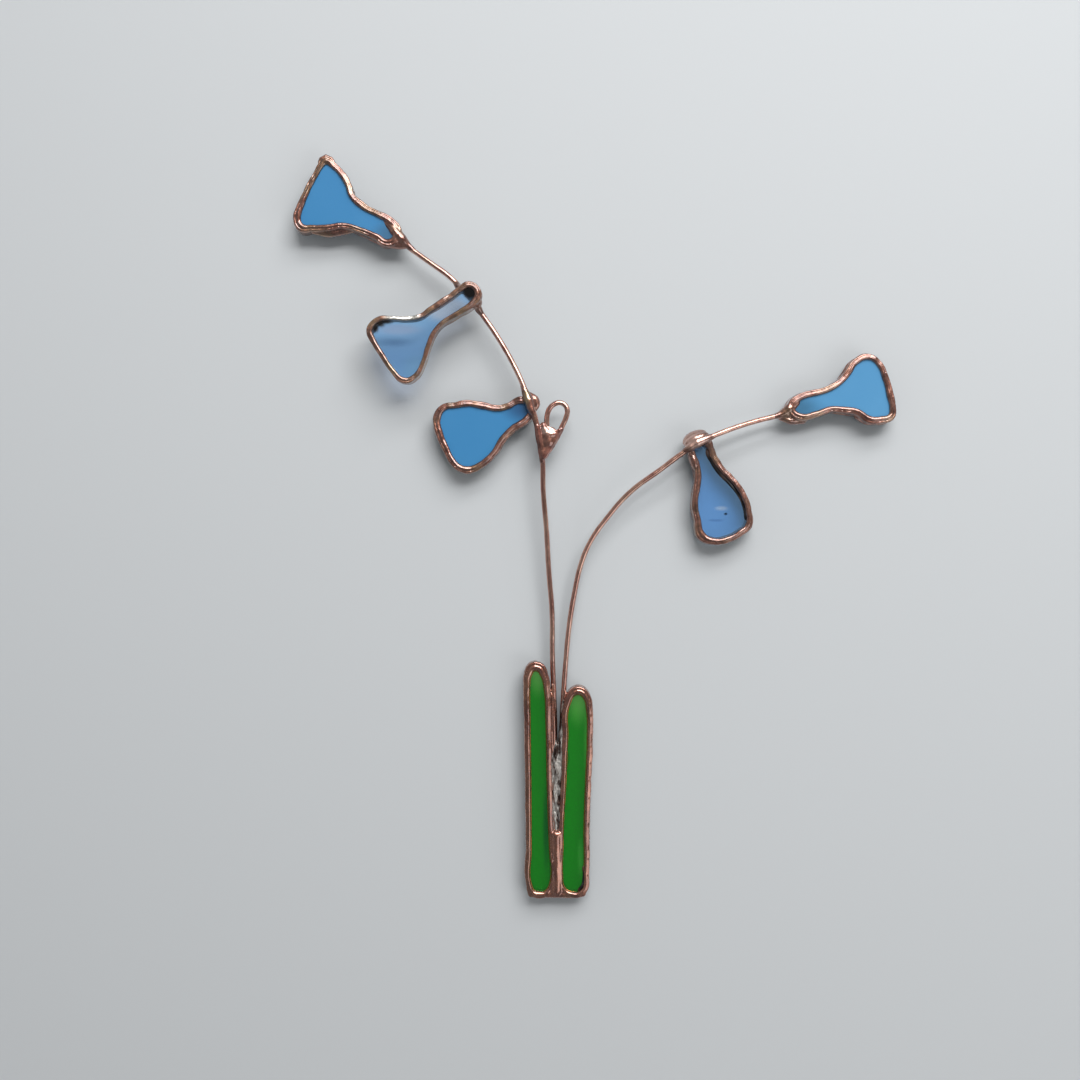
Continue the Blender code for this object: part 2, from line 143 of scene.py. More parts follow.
LEAF_RIGHT: tuple[OutlinePoint, ...] = (
    (4.5, -72.0, 1.5), (5.8, -72.8, 1.3), (6.6, -75.8, 1.05), (6.8, -83.2, 1.0), (6.4, -93.2, 1.0),
    (6.0, -104.6, 1.0), (5.9, -116.1, 1.0), (5.2, -120.5, 1.0), (3.1, -120.9, 1.0), (1.3, -119.8, 0.9),
    (0.8, -116.8, 0.66), (0.9, -110.6, 0.66), (1.0, -104.6, 0.78), (1.6, -94.4, 0.9), (2.1, -82.8, 0.95),
    (2.7, -74.2, 1.1),
)

# Middle lines of the wires: X, Y, Z
STEM_LEFT: tuple[Point3, ...] = (
    (-39.4, 1.7, 40.9), (-37.1, 1.3, 39.1), (-32.2, 0.7, 35.5), (-27.2, 0.4, 31.8), (-23.2, 0.3, 27.5),
    (-19.5, 0.3, 22.8), (-14.9, 0.1, 16.1), (-10.8, -0.3, 8.7), (-8.4, -0.6, 3.2), (-6.6, -0.7, -1.5),
    (-5.4, -0.5, -6.2), (-4.3, 0.0, -13.2), (-4.1, 0.4, -21.1), (-3.3, 0.9, -31.0), (-2.7, 1.3, -41.4),
    (-1.9, 1.6, -51.4), (-1.8, 1.9, -62.0), (-1.4, 2.0, -73.5), (-1.2, 2.0, -83.5), (-0.9, 2.0, -94.8),
    (-0.6, 2.0, -104.0),
)
STEM_RIGHT: tuple[Point3, ...] = (
    (56.4, 1.5, -2.0), (53.6, 1.0, -2.7), (47.2, 0.3, -4.4), (39.8, -0.4, -7.0), (34.8, -0.7, -9.2),
    (31.1, -0.6, -11.5), (24.9, -0.2, -16.1), (17.4, 0.3, -21.7), (11.4, 0.8, -28.5), (7.9, 1.1, -33.5),
    (5.6, 1.4, -38.7), (3.5, 1.7, -47.9), (2.3, 1.9, -55.8), (1.5, 2.0, -64.6), (0.9, 2.0, -73.5),
    (0.5, 2.0, -83.5), (0.4, 2.0, -89.5),
)
HANG_LOOP: tuple[Point3, ...] = (
    (-3.1, 0.0, -7.7), (-3.2, 0.0, -4.7), (-3.1, 0.0, -2.5), (-2.4, 0.0, -0.7), (-1.2, 0.0, 0.3),
    (0.0, 0.0, 0.6), (1.3, 0.0, 0.0), (1.9, 0.0, -1.3), (1.6, 0.0, -3.0), (0.8, 0.0, -4.9),
    (-0.4, 0.0, -7.3), (-1.9, 0.0, -9.9), (-2.9, 0.0, -11.6),
)


class Slot(Enum):
    """Material slots of the record."""

    CLEAR_BLUE = "clear_blue_glass"
    GREEN = "green_glass"
    SOLDER = "copper_solder"
    WIRE = "copper_wire"
    BARE_SOLDER = "bare_solder"
    FOIL = "foil_backing"


def linear(colour: str) -> Point4:
    """Turn an sRGB hex colour into a linear one.

    Args:
        colour: Six hex digits after a hash sign.

    Returns:
        Red, green, blue and an alpha of 1.
    """
    shares = [int(colour[i : i + 2], 16) / 255 for i in (1, 3, 5)]
    red, green, blue = [s / 12.92 if s <= 0.04045 else ((s + 0.055) / 1.055) ** 2.4 for s in shares]
    return red, green, blue, 1.0


def per_metre(size: float) -> float:
    """Give the scale of a pattern on coordinates in metres whose cells are this many millimetres wide."""
    return 1 / (size * MM)


def add_node(tree: bpy.types.NodeTree, kind: str, inputs: dict | None = None, **settings) -> bpy.types.Node:
    """Add a node to a tree.

    Args:
        tree: The tree that gets the node.
        kind: The node's type.
        inputs: Values, output sockets or nodes by input name or number. A node gives its first output.
        settings: The node's own properties.

    Returns:
        The new node.
    """
    node = tree.nodes.new(kind)
    for name, value in settings.items():
        setattr(node, name, value)
    for key, value in (inputs or {}).items():
        if isinstance(value, bpy.types.Node):
            value = value.outputs[0]
        if isinstance(value, bpy.types.NodeSocket):
            tree.links.new(value, node.inputs[key])
        else:
            node.inputs[key].default_value = value
    return node


@dataclass(frozen=True)
class Spot:
    """A soft-edged spot of colour, seen from the front: X, Z, and how far it reaches along each."""

    x: float
    z: float
    reach_x: float
    reach_z: float
    colour: str
    core: float = 0.2

    def paint(
        self, tree: bpy.types.NodeTree, place: bpy.types.NodeSocket, under: bpy.types.NodeSocket | Point4
    ) -> bpy.types.NodeSocket:
        """Paint the spot over a colour, full in its core and gone at its reach.

        Args:
            tree: The material's tree.
            place: Object coordinates in metres.
            under: The colour under it.

        Returns:
            The socket of the painted colour.
        """
        middle = (-self.x * MM, 0.0, -self.z * MM)
        moved = add_node(tree, "ShaderNodeVectorMath", {0: place, 1: middle}, operation="ADD")
        reach = (1 / (self.reach_x * MM), 0.0, 1 / (self.reach_z * MM))
        scaled = add_node(tree, "ShaderNodeVectorMath", {0: moved, 1: reach}, operation="MULTIPLY")
        away = add_node(tree, "ShaderNodeVectorMath", {0: scaled}, operation="LENGTH")
        near = add_node(
            tree,
            "ShaderNodeMapRange",
            {"Value": away.outputs["Value"], "From Min": self.core, "To Min": 1.0, "To Max": 0.0},
            interpolation_type="SMOOTHSTEP",
        )
        painted = add_node(
            tree, "ShaderNodeMix", {"Factor": near, UNDER: under, OVER: linear(self.colour)}, data_type="RGBA"
        )
        return painted.outputs[MIXED]


@dataclass(frozen=True)
class Finish:
    """What all finishes share: a name, and a shader on the piece's own coordinates."""

    name: str

    def build(self) -> bpy.types.Material:
        """Make the material.

        Returns:
            The material.
        """
        material = bpy.data.materials.new(self.name)
        material.use_nodes = True
        tree = material.node_tree
        tree.nodes.clear()
        place = add_node(tree, "ShaderNodeTexCoord").outputs["Object"]
        add_node(tree, "ShaderNodeOutputMaterial", {"Surface": self.surface(tree, place)})
        return material

    def surface(self, tree: bpy.types.NodeTree, place: bpy.types.NodeSocket) -> bpy.types.Node:
        """Make the shader.

        Args:
            tree: The material's tree.
            place: Object coordinates in metres.

        Returns:
            The shader's node.
        """
        raise NotImplementedError


def built(finishes: Iterable[Finish]) -> dict[Finish, bpy.types.Material]:
    """Make each finish's material once."""
    return {finish: finish.build() for finish in dict.fromkeys(finishes)}


@dataclass(frozen=True)
class PatinaSolder(Finish):
    """Tin-lead solder run on copper foil, turned copper-brown with patina, rubbed clean and waxed.

    The eye sees a red-brown metal that varies in patches from dark brown to rose, with brass where the patina
    was thin and, in spots, grey solder where it missed; some spots are painted highlights. The wax over it
    gives nearly white highlights.
    Patches and grain are in millimetres, and the stretch draws both out along the height.
    """

    rose: str = "#AC7460"
    brown: str = "#66301F"
    brass: str = "#9A845C"
    brass_share: float = 0.4
    patch: float = 2.2
    brass_patch: float = 2.6
    grain: float = 0.4
    stretch: float = 1.0
    roughness: tuple[float, float] = (0.26, 0.42)
    bump_depth: float = 0.004
    wax: float = 1.0
    wax_ior: float = 2.05
    wax_roughness: float = 0.1
    spots: tuple[Spot, ...] = ()

    def surface(self, tree: bpy.types.NodeTree, place: bpy.types.NodeSocket) -> bpy.types.Node:
        """Mix rose, brown and brass in patches, and grain the metal under its wax.

        Args:
            tree: The material's tree.
            place: Object coordinates in metres.

        Returns:
            The shader's node.
        """
        run = add_node(tree, "ShaderNodeMapping", {"Vector": place, "Scale": (1.0, 1.0, 1 / self.stretch)})
        patches = add_node(
            tree,
            "ShaderNodeTexNoise",
            {"Vector": run, "Scale": per_metre(self.patch), "Detail": 5.0, "Roughness": 0.62},
        )
        brassy = add_node(
            tree,
            "ShaderNodeTexNoise",
            {"Vector": run, "Scale": per_metre(self.brass_patch * self.patch), "Detail": 2.0},
        )
        grain = add_node(
            tree, "ShaderNodeTexNoise", {"Vector": run, "Scale": per_metre(self.grain), "Detail": 3.0}
        )
        tone = add_node(tree, "ShaderNodeMapRange", {"Value": patches, "From Min": 0.36, "From Max": 0.64})
        warm = add_node(
            tree,
            "ShaderNodeMix",
            {"Factor": tone, UNDER: linear(self.brown), OVER: linear(self.rose)},
            data_type="RGBA",
        )
        thin = add_node(
            tree,
            "ShaderNodeMapRange",
            {"Value": brassy, "From Min": 0.5, "From Max": 0.66, "To Max": self.brass_share},
        )
        mixed = add_node(
            tree,
            "ShaderNodeMix",
            {"Factor": thin, UNDER: warm.outputs[MIXED], OVER: linear(self.brass)},
            data_type="RGBA",
        )
        colour = mixed.outputs[MIXED]
        for spot in self.spots:
            colour = spot.paint(tree, place, colour)
        smooth, rough = self.roughness
        worn = add_node(
            tree,
            "ShaderNodeMapRange",
            {"Value": grain, "From Min": 0.3, "From Max": 0.7, "To Min": smooth, "To Max": rough},
        )
        bump = add_node(
            tree, "ShaderNodeBump", {"Height": grain, "Distance": self.bump_depth * MM, "Strength": 1.0}
        )
        return add_node(
            tree,
            "ShaderNodeBsdfPrincipled",
            {"Base Color": colour, "Metallic": 1.0, "Roughness": worn, "Normal": bump,
             "Coat Weight": self.wax, "Coat IOR": self.wax_ior, "Coat Roughness": self.wax_roughness},
        )


@dataclass(frozen=True)
class BareSolder(Finish):
    """Solder that the patina never reached, at the bottom of a gap: silvery, cratered, dark in its pits."""

    bright: str = "#D2CDC6"
    pit: str = "#4A3A34"
    pit_size: float = 1.4
    pit_depth: float = 0.07
    squeeze: float = 0.3
    roughness: float = 0.4

    def surface(self, tree: bpy.types.NodeTree, place: bpy.types.NodeSocket) -> bpy.types.Node:
        """Sink dark pits, drawn out along the height, into the bright metal.

        Args:
            tree: The material's tree.
            place: Object coordinates in metres.

        Returns:
            The shader's node.
        """
        run = add_node(tree, "ShaderNodeMapping", {"Vector": place, "Scale": (1.0, 1.0, self.squeeze)})
        pits = add_node(
            tree,
            "ShaderNodeTexNoise",
            {"Vector": run, "Scale": per_metre(self.pit_size), "Detail": 5.0, "Roughness": 0.65},
        )
        share = add_node(tree, "ShaderNodeMapRange", {"Value": pits, "From Min": 0.43, "From Max": 0.55})
        colour = add_node(
            tree,
            "ShaderNodeMix",
            {"Factor": share, UNDER: linear(self.pit), OVER: linear(self.bright)},
            data_type="RGBA",
        )
        bump = add_node(
            tree, "ShaderNodeBump", {"Height": pits, "Distance": self.pit_depth * MM, "Strength": 1.0}
        )
        return add_node(
            tree,
            "ShaderNodeBsdfPrincipled",
            {"Base Color": colour.outputs[MIXED], "Metallic": 1.0, "Roughness": self.roughness,
             "Normal": bump},
        )


@dataclass(frozen=True)
class CopperFoil(Finish):
    """Bare copper foil, crimped on to the glass: thin, satin, a little brassy past the solder."""

    body: str = "#C98A52"
    worn: str = "#9A5A3A"
    wear_size: float = 1.5
    crease_depth: float = 0.04
    roughness: float = 0.35

    def surface(self, tree: bpy.types.NodeTree, place: bpy.types.NodeSocket) -> bpy.types.Node:
        """Cloud the copper with wear, and crease it.

        Args:
            tree: The material's tree.
            place: Object coordinates in metres.

        Returns:
            The shader's node.
        """
        wear = add_node(
            tree, "ShaderNodeTexNoise", {"Vector": place, "Scale": per_metre(self.wear_size), "Detail": 3.0}
        )
        colour = add_node(
            tree,
            "ShaderNodeMix",
            {"Factor": wear, UNDER: linear(self.body), OVER: linear(self.worn)},
            data_type="RGBA",
        )
        bump = add_node(tree, "ShaderNodeBump", {"Height": wear, "Distance": self.crease_depth * MM})
        return add_node(
            tree,
            "ShaderNodeBsdfPrincipled",
            {"Base Color": colour.outputs[MIXED], "Metallic": 1.0, "Roughness": self.roughness,
             "Normal": bump},
        )


@dataclass(frozen=True)
class OpalGlass(Finish):
    """Opalescent sheet glass, rolled: an even milky blue with a faint cloud in it and a soft gloss."""

    body: str
    cloud: str
    spots: tuple[Spot, ...] = ()
    cloud_size: float = 14.0
    wave_size: float = 5.0
    wave_depth: float = 0.06
    roughness: float = 0.16
    ior: float = 1.52

    def surface(self, tree: bpy.types.NodeTree, place: bpy.types.NodeSocket) -> bpy.types.Node:
        """Cloud the milky body, and wave its surface.

        Args:
            tree: The material's tree.
            place: Object coordinates in metres.

        Returns:
            The shader's node.
        """
        cloud = add_node(
            tree, "ShaderNodeTexNoise", {"Vector": place, "Scale": per_metre(self.cloud_size), "Detail": 3.0}
        )
        clouded = add_node(
            tree,
            "ShaderNodeMix",
            {"Factor": cloud, UNDER: linear(self.body), OVER: linear(self.cloud)},
            data_type="RGBA",
        )
        colour = clouded.outputs[MIXED]
        for spot in self.spots:
            colour = spot.paint(tree, place, colour)
        wave = add_node(
            tree, "ShaderNodeTexNoise", {"Vector": place, "Scale": per_metre(self.wave_size), "Detail": 1.0}
        )
        bump = add_node(
            tree, "ShaderNodeBump", {"Height": wave, "Distance": self.wave_depth * MM, "Strength": 0.6}
        )
        return add_node(
            tree,
            "ShaderNodeBsdfPrincipled",
            {"Base Color": colour, "Roughness": self.roughness, "IOR": self.ior, "Normal": bump},
        )


@dataclass(frozen=True)
class ClearGlass(Finish):
    """Cathedral glass, clear and coloured through, rolled with a slight wave.

    The tint is what white light keeps after one pass straight through the sheet. The cast is what a lamp's
    slanting light keeps, so it is the colour of the glass's shadow on the wall behind.
    """

    tint: str
    cast: str
    clear_share: float = 1.0
    spots: tuple[Spot, ...] = ()
    wave_size: float = 4.5
    wave_depth: float = 0.10
    roughness: float = 0.02
    ior: float = 1.52

    def surface(self, tree: bpy.types.NodeTree, place: bpy.types.NodeSocket) -> bpy.types.Node:
        """Tint and wave the glass, and let lamps through it.

        Args:
            tree: The material's tree.
            place: Object coordinates in metres.

        Returns:
            The shader's node.
        """
        wave = add_node(
            tree,
            "ShaderNodeTexNoise",
            {"Vector": place, "Scale": per_metre(self.wave_size), "Detail": 2.0, "Distortion": 0.6},
        )
        bump = add_node(
            tree, "ShaderNodeBump", {"Height": wave, "Distance": self.wave_depth * MM, "Strength": 1.0}
        )
        colour = linear(self.tint)
        for spot in self.spots:
            colour = spot.paint(tree, place, colour)
        glass = add_node(
            tree,
            "ShaderNodeBsdfPrincipled",
            {"Base Color": colour, "Roughness": self.roughness, "IOR": self.ior,
             "Transmission Weight": self.clear_share, "Normal": bump},
        )
        # A lamp's ray meets the two faces one after the other, so each takes the square root of the cast
        root = (*[math.sqrt(share) for share in linear(self.cast)[:3]], 1.0)
        open_to_lamps = add_node(tree, "ShaderNodeBsdfTransparent", {"Color": root})
        ray = add_node(tree, "ShaderNodeLightPath").outputs
        lighting = add_node(
            tree, "ShaderNodeMath", {0: ray["Is Shadow Ray"], 1: ray["Is Diffuse Ray"]}, operation="MAXIMUM"
        )
        return add_node(tree, "ShaderNodeMixShader", {0: lighting, 1: glass, 2: open_to_lamps})


@dataclass(frozen=True)
class FoilBacking(Finish):
    """Inner side of the copper foil, seen through the glass: dull brown, black where flux crept under it."""

    brown: str
    dark: str = "#120D0C"
    spots: tuple[Spot, ...] = ()
    mottle_size: float = 0.9
    roughness: float = 0.5

    def surface(self, tree: bpy.types.NodeTree, place: bpy.types.NodeSocket) -> bpy.types.Node:
        """Mottle the brown with flux.

        Args:
            tree: The material's tree.
            place: Object coordinates in metres.

        Returns:
            The shader's node.
        """
        mottle = add_node(
            tree, "ShaderNodeTexNoise", {"Vector": place, "Scale": per_metre(self.mottle_size), "Detail": 3.0}
        )
        share = add_node(
            tree, "ShaderNodeMapRange", {"Value": mottle, "From Min": 0.4, "From Max": 0.75, "To Max": 0.6}
        )
        mixed = add_node(
            tree,
            "ShaderNodeMix",
            {"Factor": share, UNDER: linear(self.brown), OVER: linear(self.dark)},
            data_type="RGBA",
        )
        colour = mixed.outputs[MIXED]
        for spot in self.spots:
            colour = spot.paint(tree, place, colour)
        return add_node(tree, "ShaderNodeBsdfPrincipled", {"Base Color": colour, "Roughness": self.roughness})


@dataclass(frozen=True)
class MattPaint(Finish):
    """Matt emulsion on wall and floor: even, without gloss. One that is one-sided is clear from behind."""

    colour: str
    one_sided: bool
    roughness: float = 0.7

    def surface(self, tree: bpy.types.NodeTree, place: bpy.types.NodeSocket) -> bpy.types.Node:
        """Lay the paint on, on its front alone if it is one-sided.

        Args:
            tree: The material's tree.
            place: Object coordinates in metres.

        Returns:
            The shader's node.
        """
        look = {"Base Color": linear(self.colour), "Roughness": self.roughness}
        paint = add_node(tree, "ShaderNodeBsdfPrincipled", look)
        if not self.one_sided:
            return paint
        side = add_node(tree, "ShaderNodeNewGeometry").outputs["Backfacing"]
        clear = add_node(tree, "ShaderNodeBsdfTransparent")
        return add_node(tree, "ShaderNodeMixShader", {0: side, 1: paint, 2: clear})


def as_mesh(name: str, shape: bmesh.types.BMesh) -> bpy.types.Mesh:
    """Turn a working mesh into a plain one, and free it.

    Args:
        name: The plain mesh's name.
        shape: The working mesh.

    Returns:
        The plain mesh.
    """
    mesh = bpy.data.meshes.new(name)
    shape.to_mesh(mesh)
    shape.free()
    return mesh


def joined(name: str, parts: list[bpy.types.Mesh]) -> bpy.types.Mesh:
    """Join meshes into one, as they are.

    Args:
        name: The new mesh's name.
        parts: The meshes.

    Returns:
        The new mesh.
    """
    shape = bmesh.new()
    for part in parts:
        shape.from_mesh(part)
    return as_mesh(name, shape)


def outward_facing(mesh: bpy.types.Mesh) -> bpy.types.Mesh:
    """Turn the faces of a closed mesh outward.

    Args:
        mesh: The mesh, which is changed.

    Returns:
        The same mesh.
    """
    shape = bmesh.new()
    shape.from_mesh(mesh)
    bmesh.ops.remove_doubles(shape, verts=shape.verts, dist=SAME_POINT / 2)
    bmesh.ops.recalc_face_normals(shape, faces=shape.faces)
    shape.to_mesh(mesh)
    shape.free()
    return mesh


def grown(outline: tuple[OutlinePoint, ...], by: float) -> tuple[Point2, ...]:
    """Move an outline that runs clockwise outward.

    Args:
        outline: X, Z and a share that isn't used.
        by: How far it moves.

    Returns:
        X and Z of the new points.
    """
    result = []
    for index, (x, z, _) in enumerate(outline):
        before, after = outline[index - 1], outline[(index + 1) % len(outline)]
        along = Vector((after[0] - before[0], after[1] - before[1])).normalized()
        result.append((x - by * along.y, z + by * along.x))
    return tuple(result)


def bead_section(steps: int = 16, fullness: float = 0.75) -> list[Point2]:
    """Draw the section of a bead: an arc, and a furrow in it that parts off a second ridge.

    Args:
        steps: Steps of the arc.
        fullness: Power of the arc's rise: below 1 it stands fuller than a half circle.

    Returns:
        The share across the bead and the share of its rise, from the glass outward.
    """
    furrow_place, furrow_width, furrow_depth = 0.64, 0.11, 0.34
    points = []
    for step in range(steps + 1):
        angle = math.pi * step / steps
        across = (1 - math.cos(angle)) / 2
        rise = max(0.0, math.sin(angle)) ** fullness
        furrow = furrow_depth * math.exp(-(((across - furrow_place) / furrow_width) ** 2))
        points.append((across, rise * (1 - furrow)))
    return points


@dataclass(frozen=True)
class Skin:
    """How run solder sets: the cells it is melted in, how often it is relaxed, and its ripples.

    Each kind of ripple has a depth and a length.
    """

    voxel: float
    flow: int
    coarse: tuple[float, float]
    fine: tuple[float, float]
    seed: float


class Workbench:
    """Sweeps, melts and ripples solder and wire in millimetres, and hands over finished pieces in metres."""

    def __init__(self) -> None:
        """Set up the bench's collection, its trees and its sections."""
        self.tools = bpy.data.collections.new("bench")
        bpy.context.scene.collection.children.link(self.tools)
        self.sweep_tree = self._make_sweep_tree()
        self.ripple_tree = self._make_ripple_tree()
        self.wire_tree = self._make_wire_tree()
        self.bead = self._section("bead", bead_section())
        self.square = self._section("square", [(0, 0), (0, 1), (1, 1), (1, 0)])

    def clear(self) -> None:
        """Put the tools away."""
        for thing in list(self.tools.objects):
            bpy.data.objects.remove(thing, do_unlink=True)
        bpy.data.collections.remove(self.tools)

    def _keep(self, thing: bpy.types.Object) -> bpy.types.Object:
        """Put an object on the bench."""
        self.tools.objects.link(thing)
        return thing

    def _section(self, name: str, points: list[Point2]) -> bpy.types.Object:
        """Make a closed section of a sweep.

        Args:
            name: The section's name.
            points: Shares across the bead and of its rise.

        Returns:
            The section, on the bench.
        """
        data = bpy.data.curves.new(name, "CURVE")
        data.dimensions = "3D"
        spline = data.splines.new("POLY")
        spline.points.add(len(points) - 1)
        for knot, (across, rise) in zip(spline.points, points):
            knot.co = (across, rise, 0.0, 1.0)
        spline.use_cyclic_u = True
        return self._keep(bpy.data.objects.new(name, data))

    def _smooth_curve(
        self, name: str, points: Iterable[Point4], closed: bool, resolution: int
    ) -> bpy.types.Object:
        """Make a smooth curve.

        Args:
            name: The curve's name.
            points: X, Y, Z and radius, in order.
            closed: True if its end meets its start.
            resolution: Steps from point to point.

        Returns:
            The curve, on the bench.
        """
        data = bpy.data.curves.new(name, "CURVE")
        data.dimensions = "3D"
        data.resolution_u = resolution
        spline = data.splines.new("BEZIER")
        knots = tuple(points)
        spline.bezier_points.add(len(knots) - 1)
        for knot, (*place, radius) in zip(spline.bezier_points, knots):
            knot.co = place
            knot.handle_left_type = knot.handle_right_type = "AUTO"
            knot.radius = radius
        spline.use_cyclic_u = closed
        return self._keep(bpy.data.objects.new(name, data))

    def outline(self, name: str, points: tuple[OutlinePoint, ...], plane: float) -> bpy.types.Object:
        """Make a closed curve of X, Z and width share at a depth."""
        return self._smooth_curve(name, ((x, plane, z, share) for x, z, share in points), True, 12)

    def route(self, name: str, points: tuple[Point4, ...]) -> bpy.types.Object:
        """Make an open curve of X, Y, Z and radius."""
        return self._smooth_curve(name, points, False, 8)

    @staticmethod
    def _start_tree(
        name: str, objects: tuple[str, ...], sizes: tuple[str, ...]
    ) -> tuple[bpy.types.NodeTree, bpy.types.bpy_prop_collection]:
        """Start a geometry tree with named inputs.

        Args:
            name: The tree's name.
            objects: Inputs that take an object. A tree without one works on the worker's own mesh.
            sizes: Inputs that take a number.

        Returns:
            The tree and its given sockets by name.
        """
        tree = bpy.data.node_groups.new(name, "GeometryNodeTree")
        kinds = {} if objects else {"Geometry": "NodeSocketGeometry"}
        kinds |= {label: "NodeSocketObject" for label in objects}
        kinds |= {label: "NodeSocketFloat" for label in sizes}
        kinds["Material"] = "NodeSocketMaterial"
        for label, kind in kinds.items():
            tree.interface.new_socket(label, in_out="INPUT", socket_type=kind)
        tree.interface.new_socket("Geometry", in_out="OUTPUT", socket_type="NodeSocketGeometry")
        return tree, add_node(tree, "NodeGroupInput").outputs

    @staticmethod
    def _finish_tree(
        tree: bpy.types.NodeTree, geometry: bpy.types.Node, given: bpy.types.bpy_prop_collection
    ) -> bpy.types.NodeTree:
        """End a tree in smooth shading, real geometry and the material.

        Args:
            tree: The tree.
            geometry: The node that gives its geometry.
            given: The tree's given sockets by name.

        Returns:
            The finished tree.
        """
        smooth = add_node(tree, "GeometryNodeSetShadeSmooth", {"Geometry": geometry})
        real = add_node(tree, "GeometryNodeRealizeInstances", {"Geometry": smooth})
        dressed = add_node(
            tree, "GeometryNodeSetMaterial", {"Geometry": real, "Material": given["Material"]}
        )
        add_node(tree, "NodeGroupOutput", {"Geometry": dressed})
        return tree

    @staticmethod
    def _wander(
        tree: bpy.types.NodeTree,
        place: bpy.types.NodeSocket | bpy.types.Node,
        length: bpy.types.NodeSocket,
        seed: bpy.types.NodeSocket | bpy.types.Node,
        detail: float = 1.0,
    ) -> bpy.types.Node:
        """Add noise that runs from about -1 to 1 over a length.

        Args:
            tree: The tree.
            place: The position.
            length: The length of a ripple.
            seed: The seed.
            detail: How much finer the noise goes.

        Returns:
            The node that gives the noise.
        """
        scale = add_node(tree, "ShaderNodeMath", {0: 1.0, 1: length}, operation="DIVIDE")
        noise = add_node(
            tree,
            "ShaderNodeTexNoise",
            {"Vector": place, "W": seed, "Scale": scale, "Detail": detail},
            noise_dimensions="4D",
        )
        return add_node(
            tree,
            "ShaderNodeMapRange",
            {"Value": noise, "From Min": 0.25, "From Max": 0.75, "To Min": -1.0, "To Max": 1.0},
        )

    def _make_sweep_tree(self) -> bpy.types.NodeTree:
        """Make the tree that sweeps a section round an outline, outward from it and along the depth.

        Returns:
            The tree.
        """
        tree, given = self._start_tree(
            "rim_sweep",
            ("Outline", "Profile"),
            ("Step", "Near", "Far", "Far Share", "Base", "Rise", "Wander", "Ripple Length", "Seed"),
        )
        outline = add_node(tree, "GeometryNodeObjectInfo", {"Object": given["Outline"]})
        even = add_node(
            tree,
            "GeometryNodeResampleCurve",
            {"Curve": outline.outputs["Geometry"], "Length": given["Step"]},
            mode="LENGTH",
        )
        middle = add_node(tree, "GeometryNodeInputPosition")
        tangent = add_node(tree, "GeometryNodeInputTangent")
        aside = add_node(
            tree, "ShaderNodeVectorMath", {0: tangent, 1: (0.0, 1.0, 0.0)}, operation="CROSS_PRODUCT"
        )
        outward = add_node(tree, "ShaderNodeVectorMath", {0: aside}, operation="NORMALIZE")
        share = add_node(tree, "GeometryNodeInputRadius")
        path = add_node(tree, "GeometryNodeCaptureAttribute", {"Geometry": even})
        section = add_node(tree, "GeometryNodeObjectInfo", {"Object": given["Profile"]})
        shape = add_node(tree, "GeometryNodeCaptureAttribute", {"Geometry": section.outputs["Geometry"]})
        for capture, kind, label, value in (
            (path, "VECTOR", "middle", middle),
            (path, "VECTOR", "outward", outward),
            (path, "FLOAT", "share", share),
            (shape, "VECTOR", "section", middle),
        ):
            capture.capture_items.new(kind, label)
            tree.links.new(value.outputs[0], capture.inputs[label])
        swept = add_node(tree, "GeometryNodeCurveToMesh", {"Curve": path, "Profile Curve": shape})

        # The bead's width and its rise wander apart from each other, each round its usual size
        other_seed = add_node(tree, "ShaderNodeMath", {0: given["Seed"], 1: RISE_SEED}, operation="ADD")
        wandering = []
        for seed in (given["Seed"], other_seed):
            noise = self._wander(tree, path.outputs["middle"], given["Ripple Length"], seed)
            around_one = {0: noise, 1: given["Wander"], 2: 1.0}
            wandering.append(add_node(tree, "ShaderNodeMath", around_one, operation="MULTIPLY_ADD"))
        wide, high = wandering

        shares = add_node(tree, "ShaderNodeSeparateXYZ", {"Vector": shape.outputs["section"]}).outputs
        extra = add_node(tree, "ShaderNodeMath", {0: path.outputs["share"], 1: 1.0}, operation="SUBTRACT")
        scale = add_node(
            tree, "ShaderNodeMath", {0: extra, 1: given["Far Share"], 2: 1.0}, operation="MULTIPLY_ADD"
        )
        usual = add_node(tree, "ShaderNodeMath", {0: given["Far"], 1: scale}, operation="MULTIPLY")
        far = add_node(tree, "ShaderNodeMath", {0: usual, 1: wide}, operation="MULTIPLY")
        span = add_node(tree, "ShaderNodeMath", {0: far, 1: given["Near"]}, operation="SUBTRACT")
        across = add_node(
            tree, "ShaderNodeMath", {0: span, 1: shares["X"], 2: given["Near"]}, operation="MULTIPLY_ADD"
        )
        rise = add_node(tree, "ShaderNodeMath", {0: given["Rise"], 1: high}, operation="MULTIPLY")
        depth = add_node(
            tree, "ShaderNodeMath", {0: rise, 1: shares["Y"], 2: given["Base"]}, operation="MULTIPLY_ADD"
        )
        sideways = add_node(
            tree, "ShaderNodeVectorMath", {0: path.outputs["outward"], "Scale": across}, operation="SCALE"
        )
        forward = add_node(tree, "ShaderNodeCombineXYZ", {"Y": depth})
        place = add_node(
            tree, "ShaderNodeVectorMath", {0: path.outputs["middle"], 1: sideways}, operation="ADD"
        )
        place = add_node(tree, "ShaderNodeVectorMath", {0: place, 1: forward}, operation="ADD")
        moved = add_node(tree, "GeometryNodeSetPosition", {"Geometry": swept, "Position": place})
        return self._finish_tree(tree, moved, given)

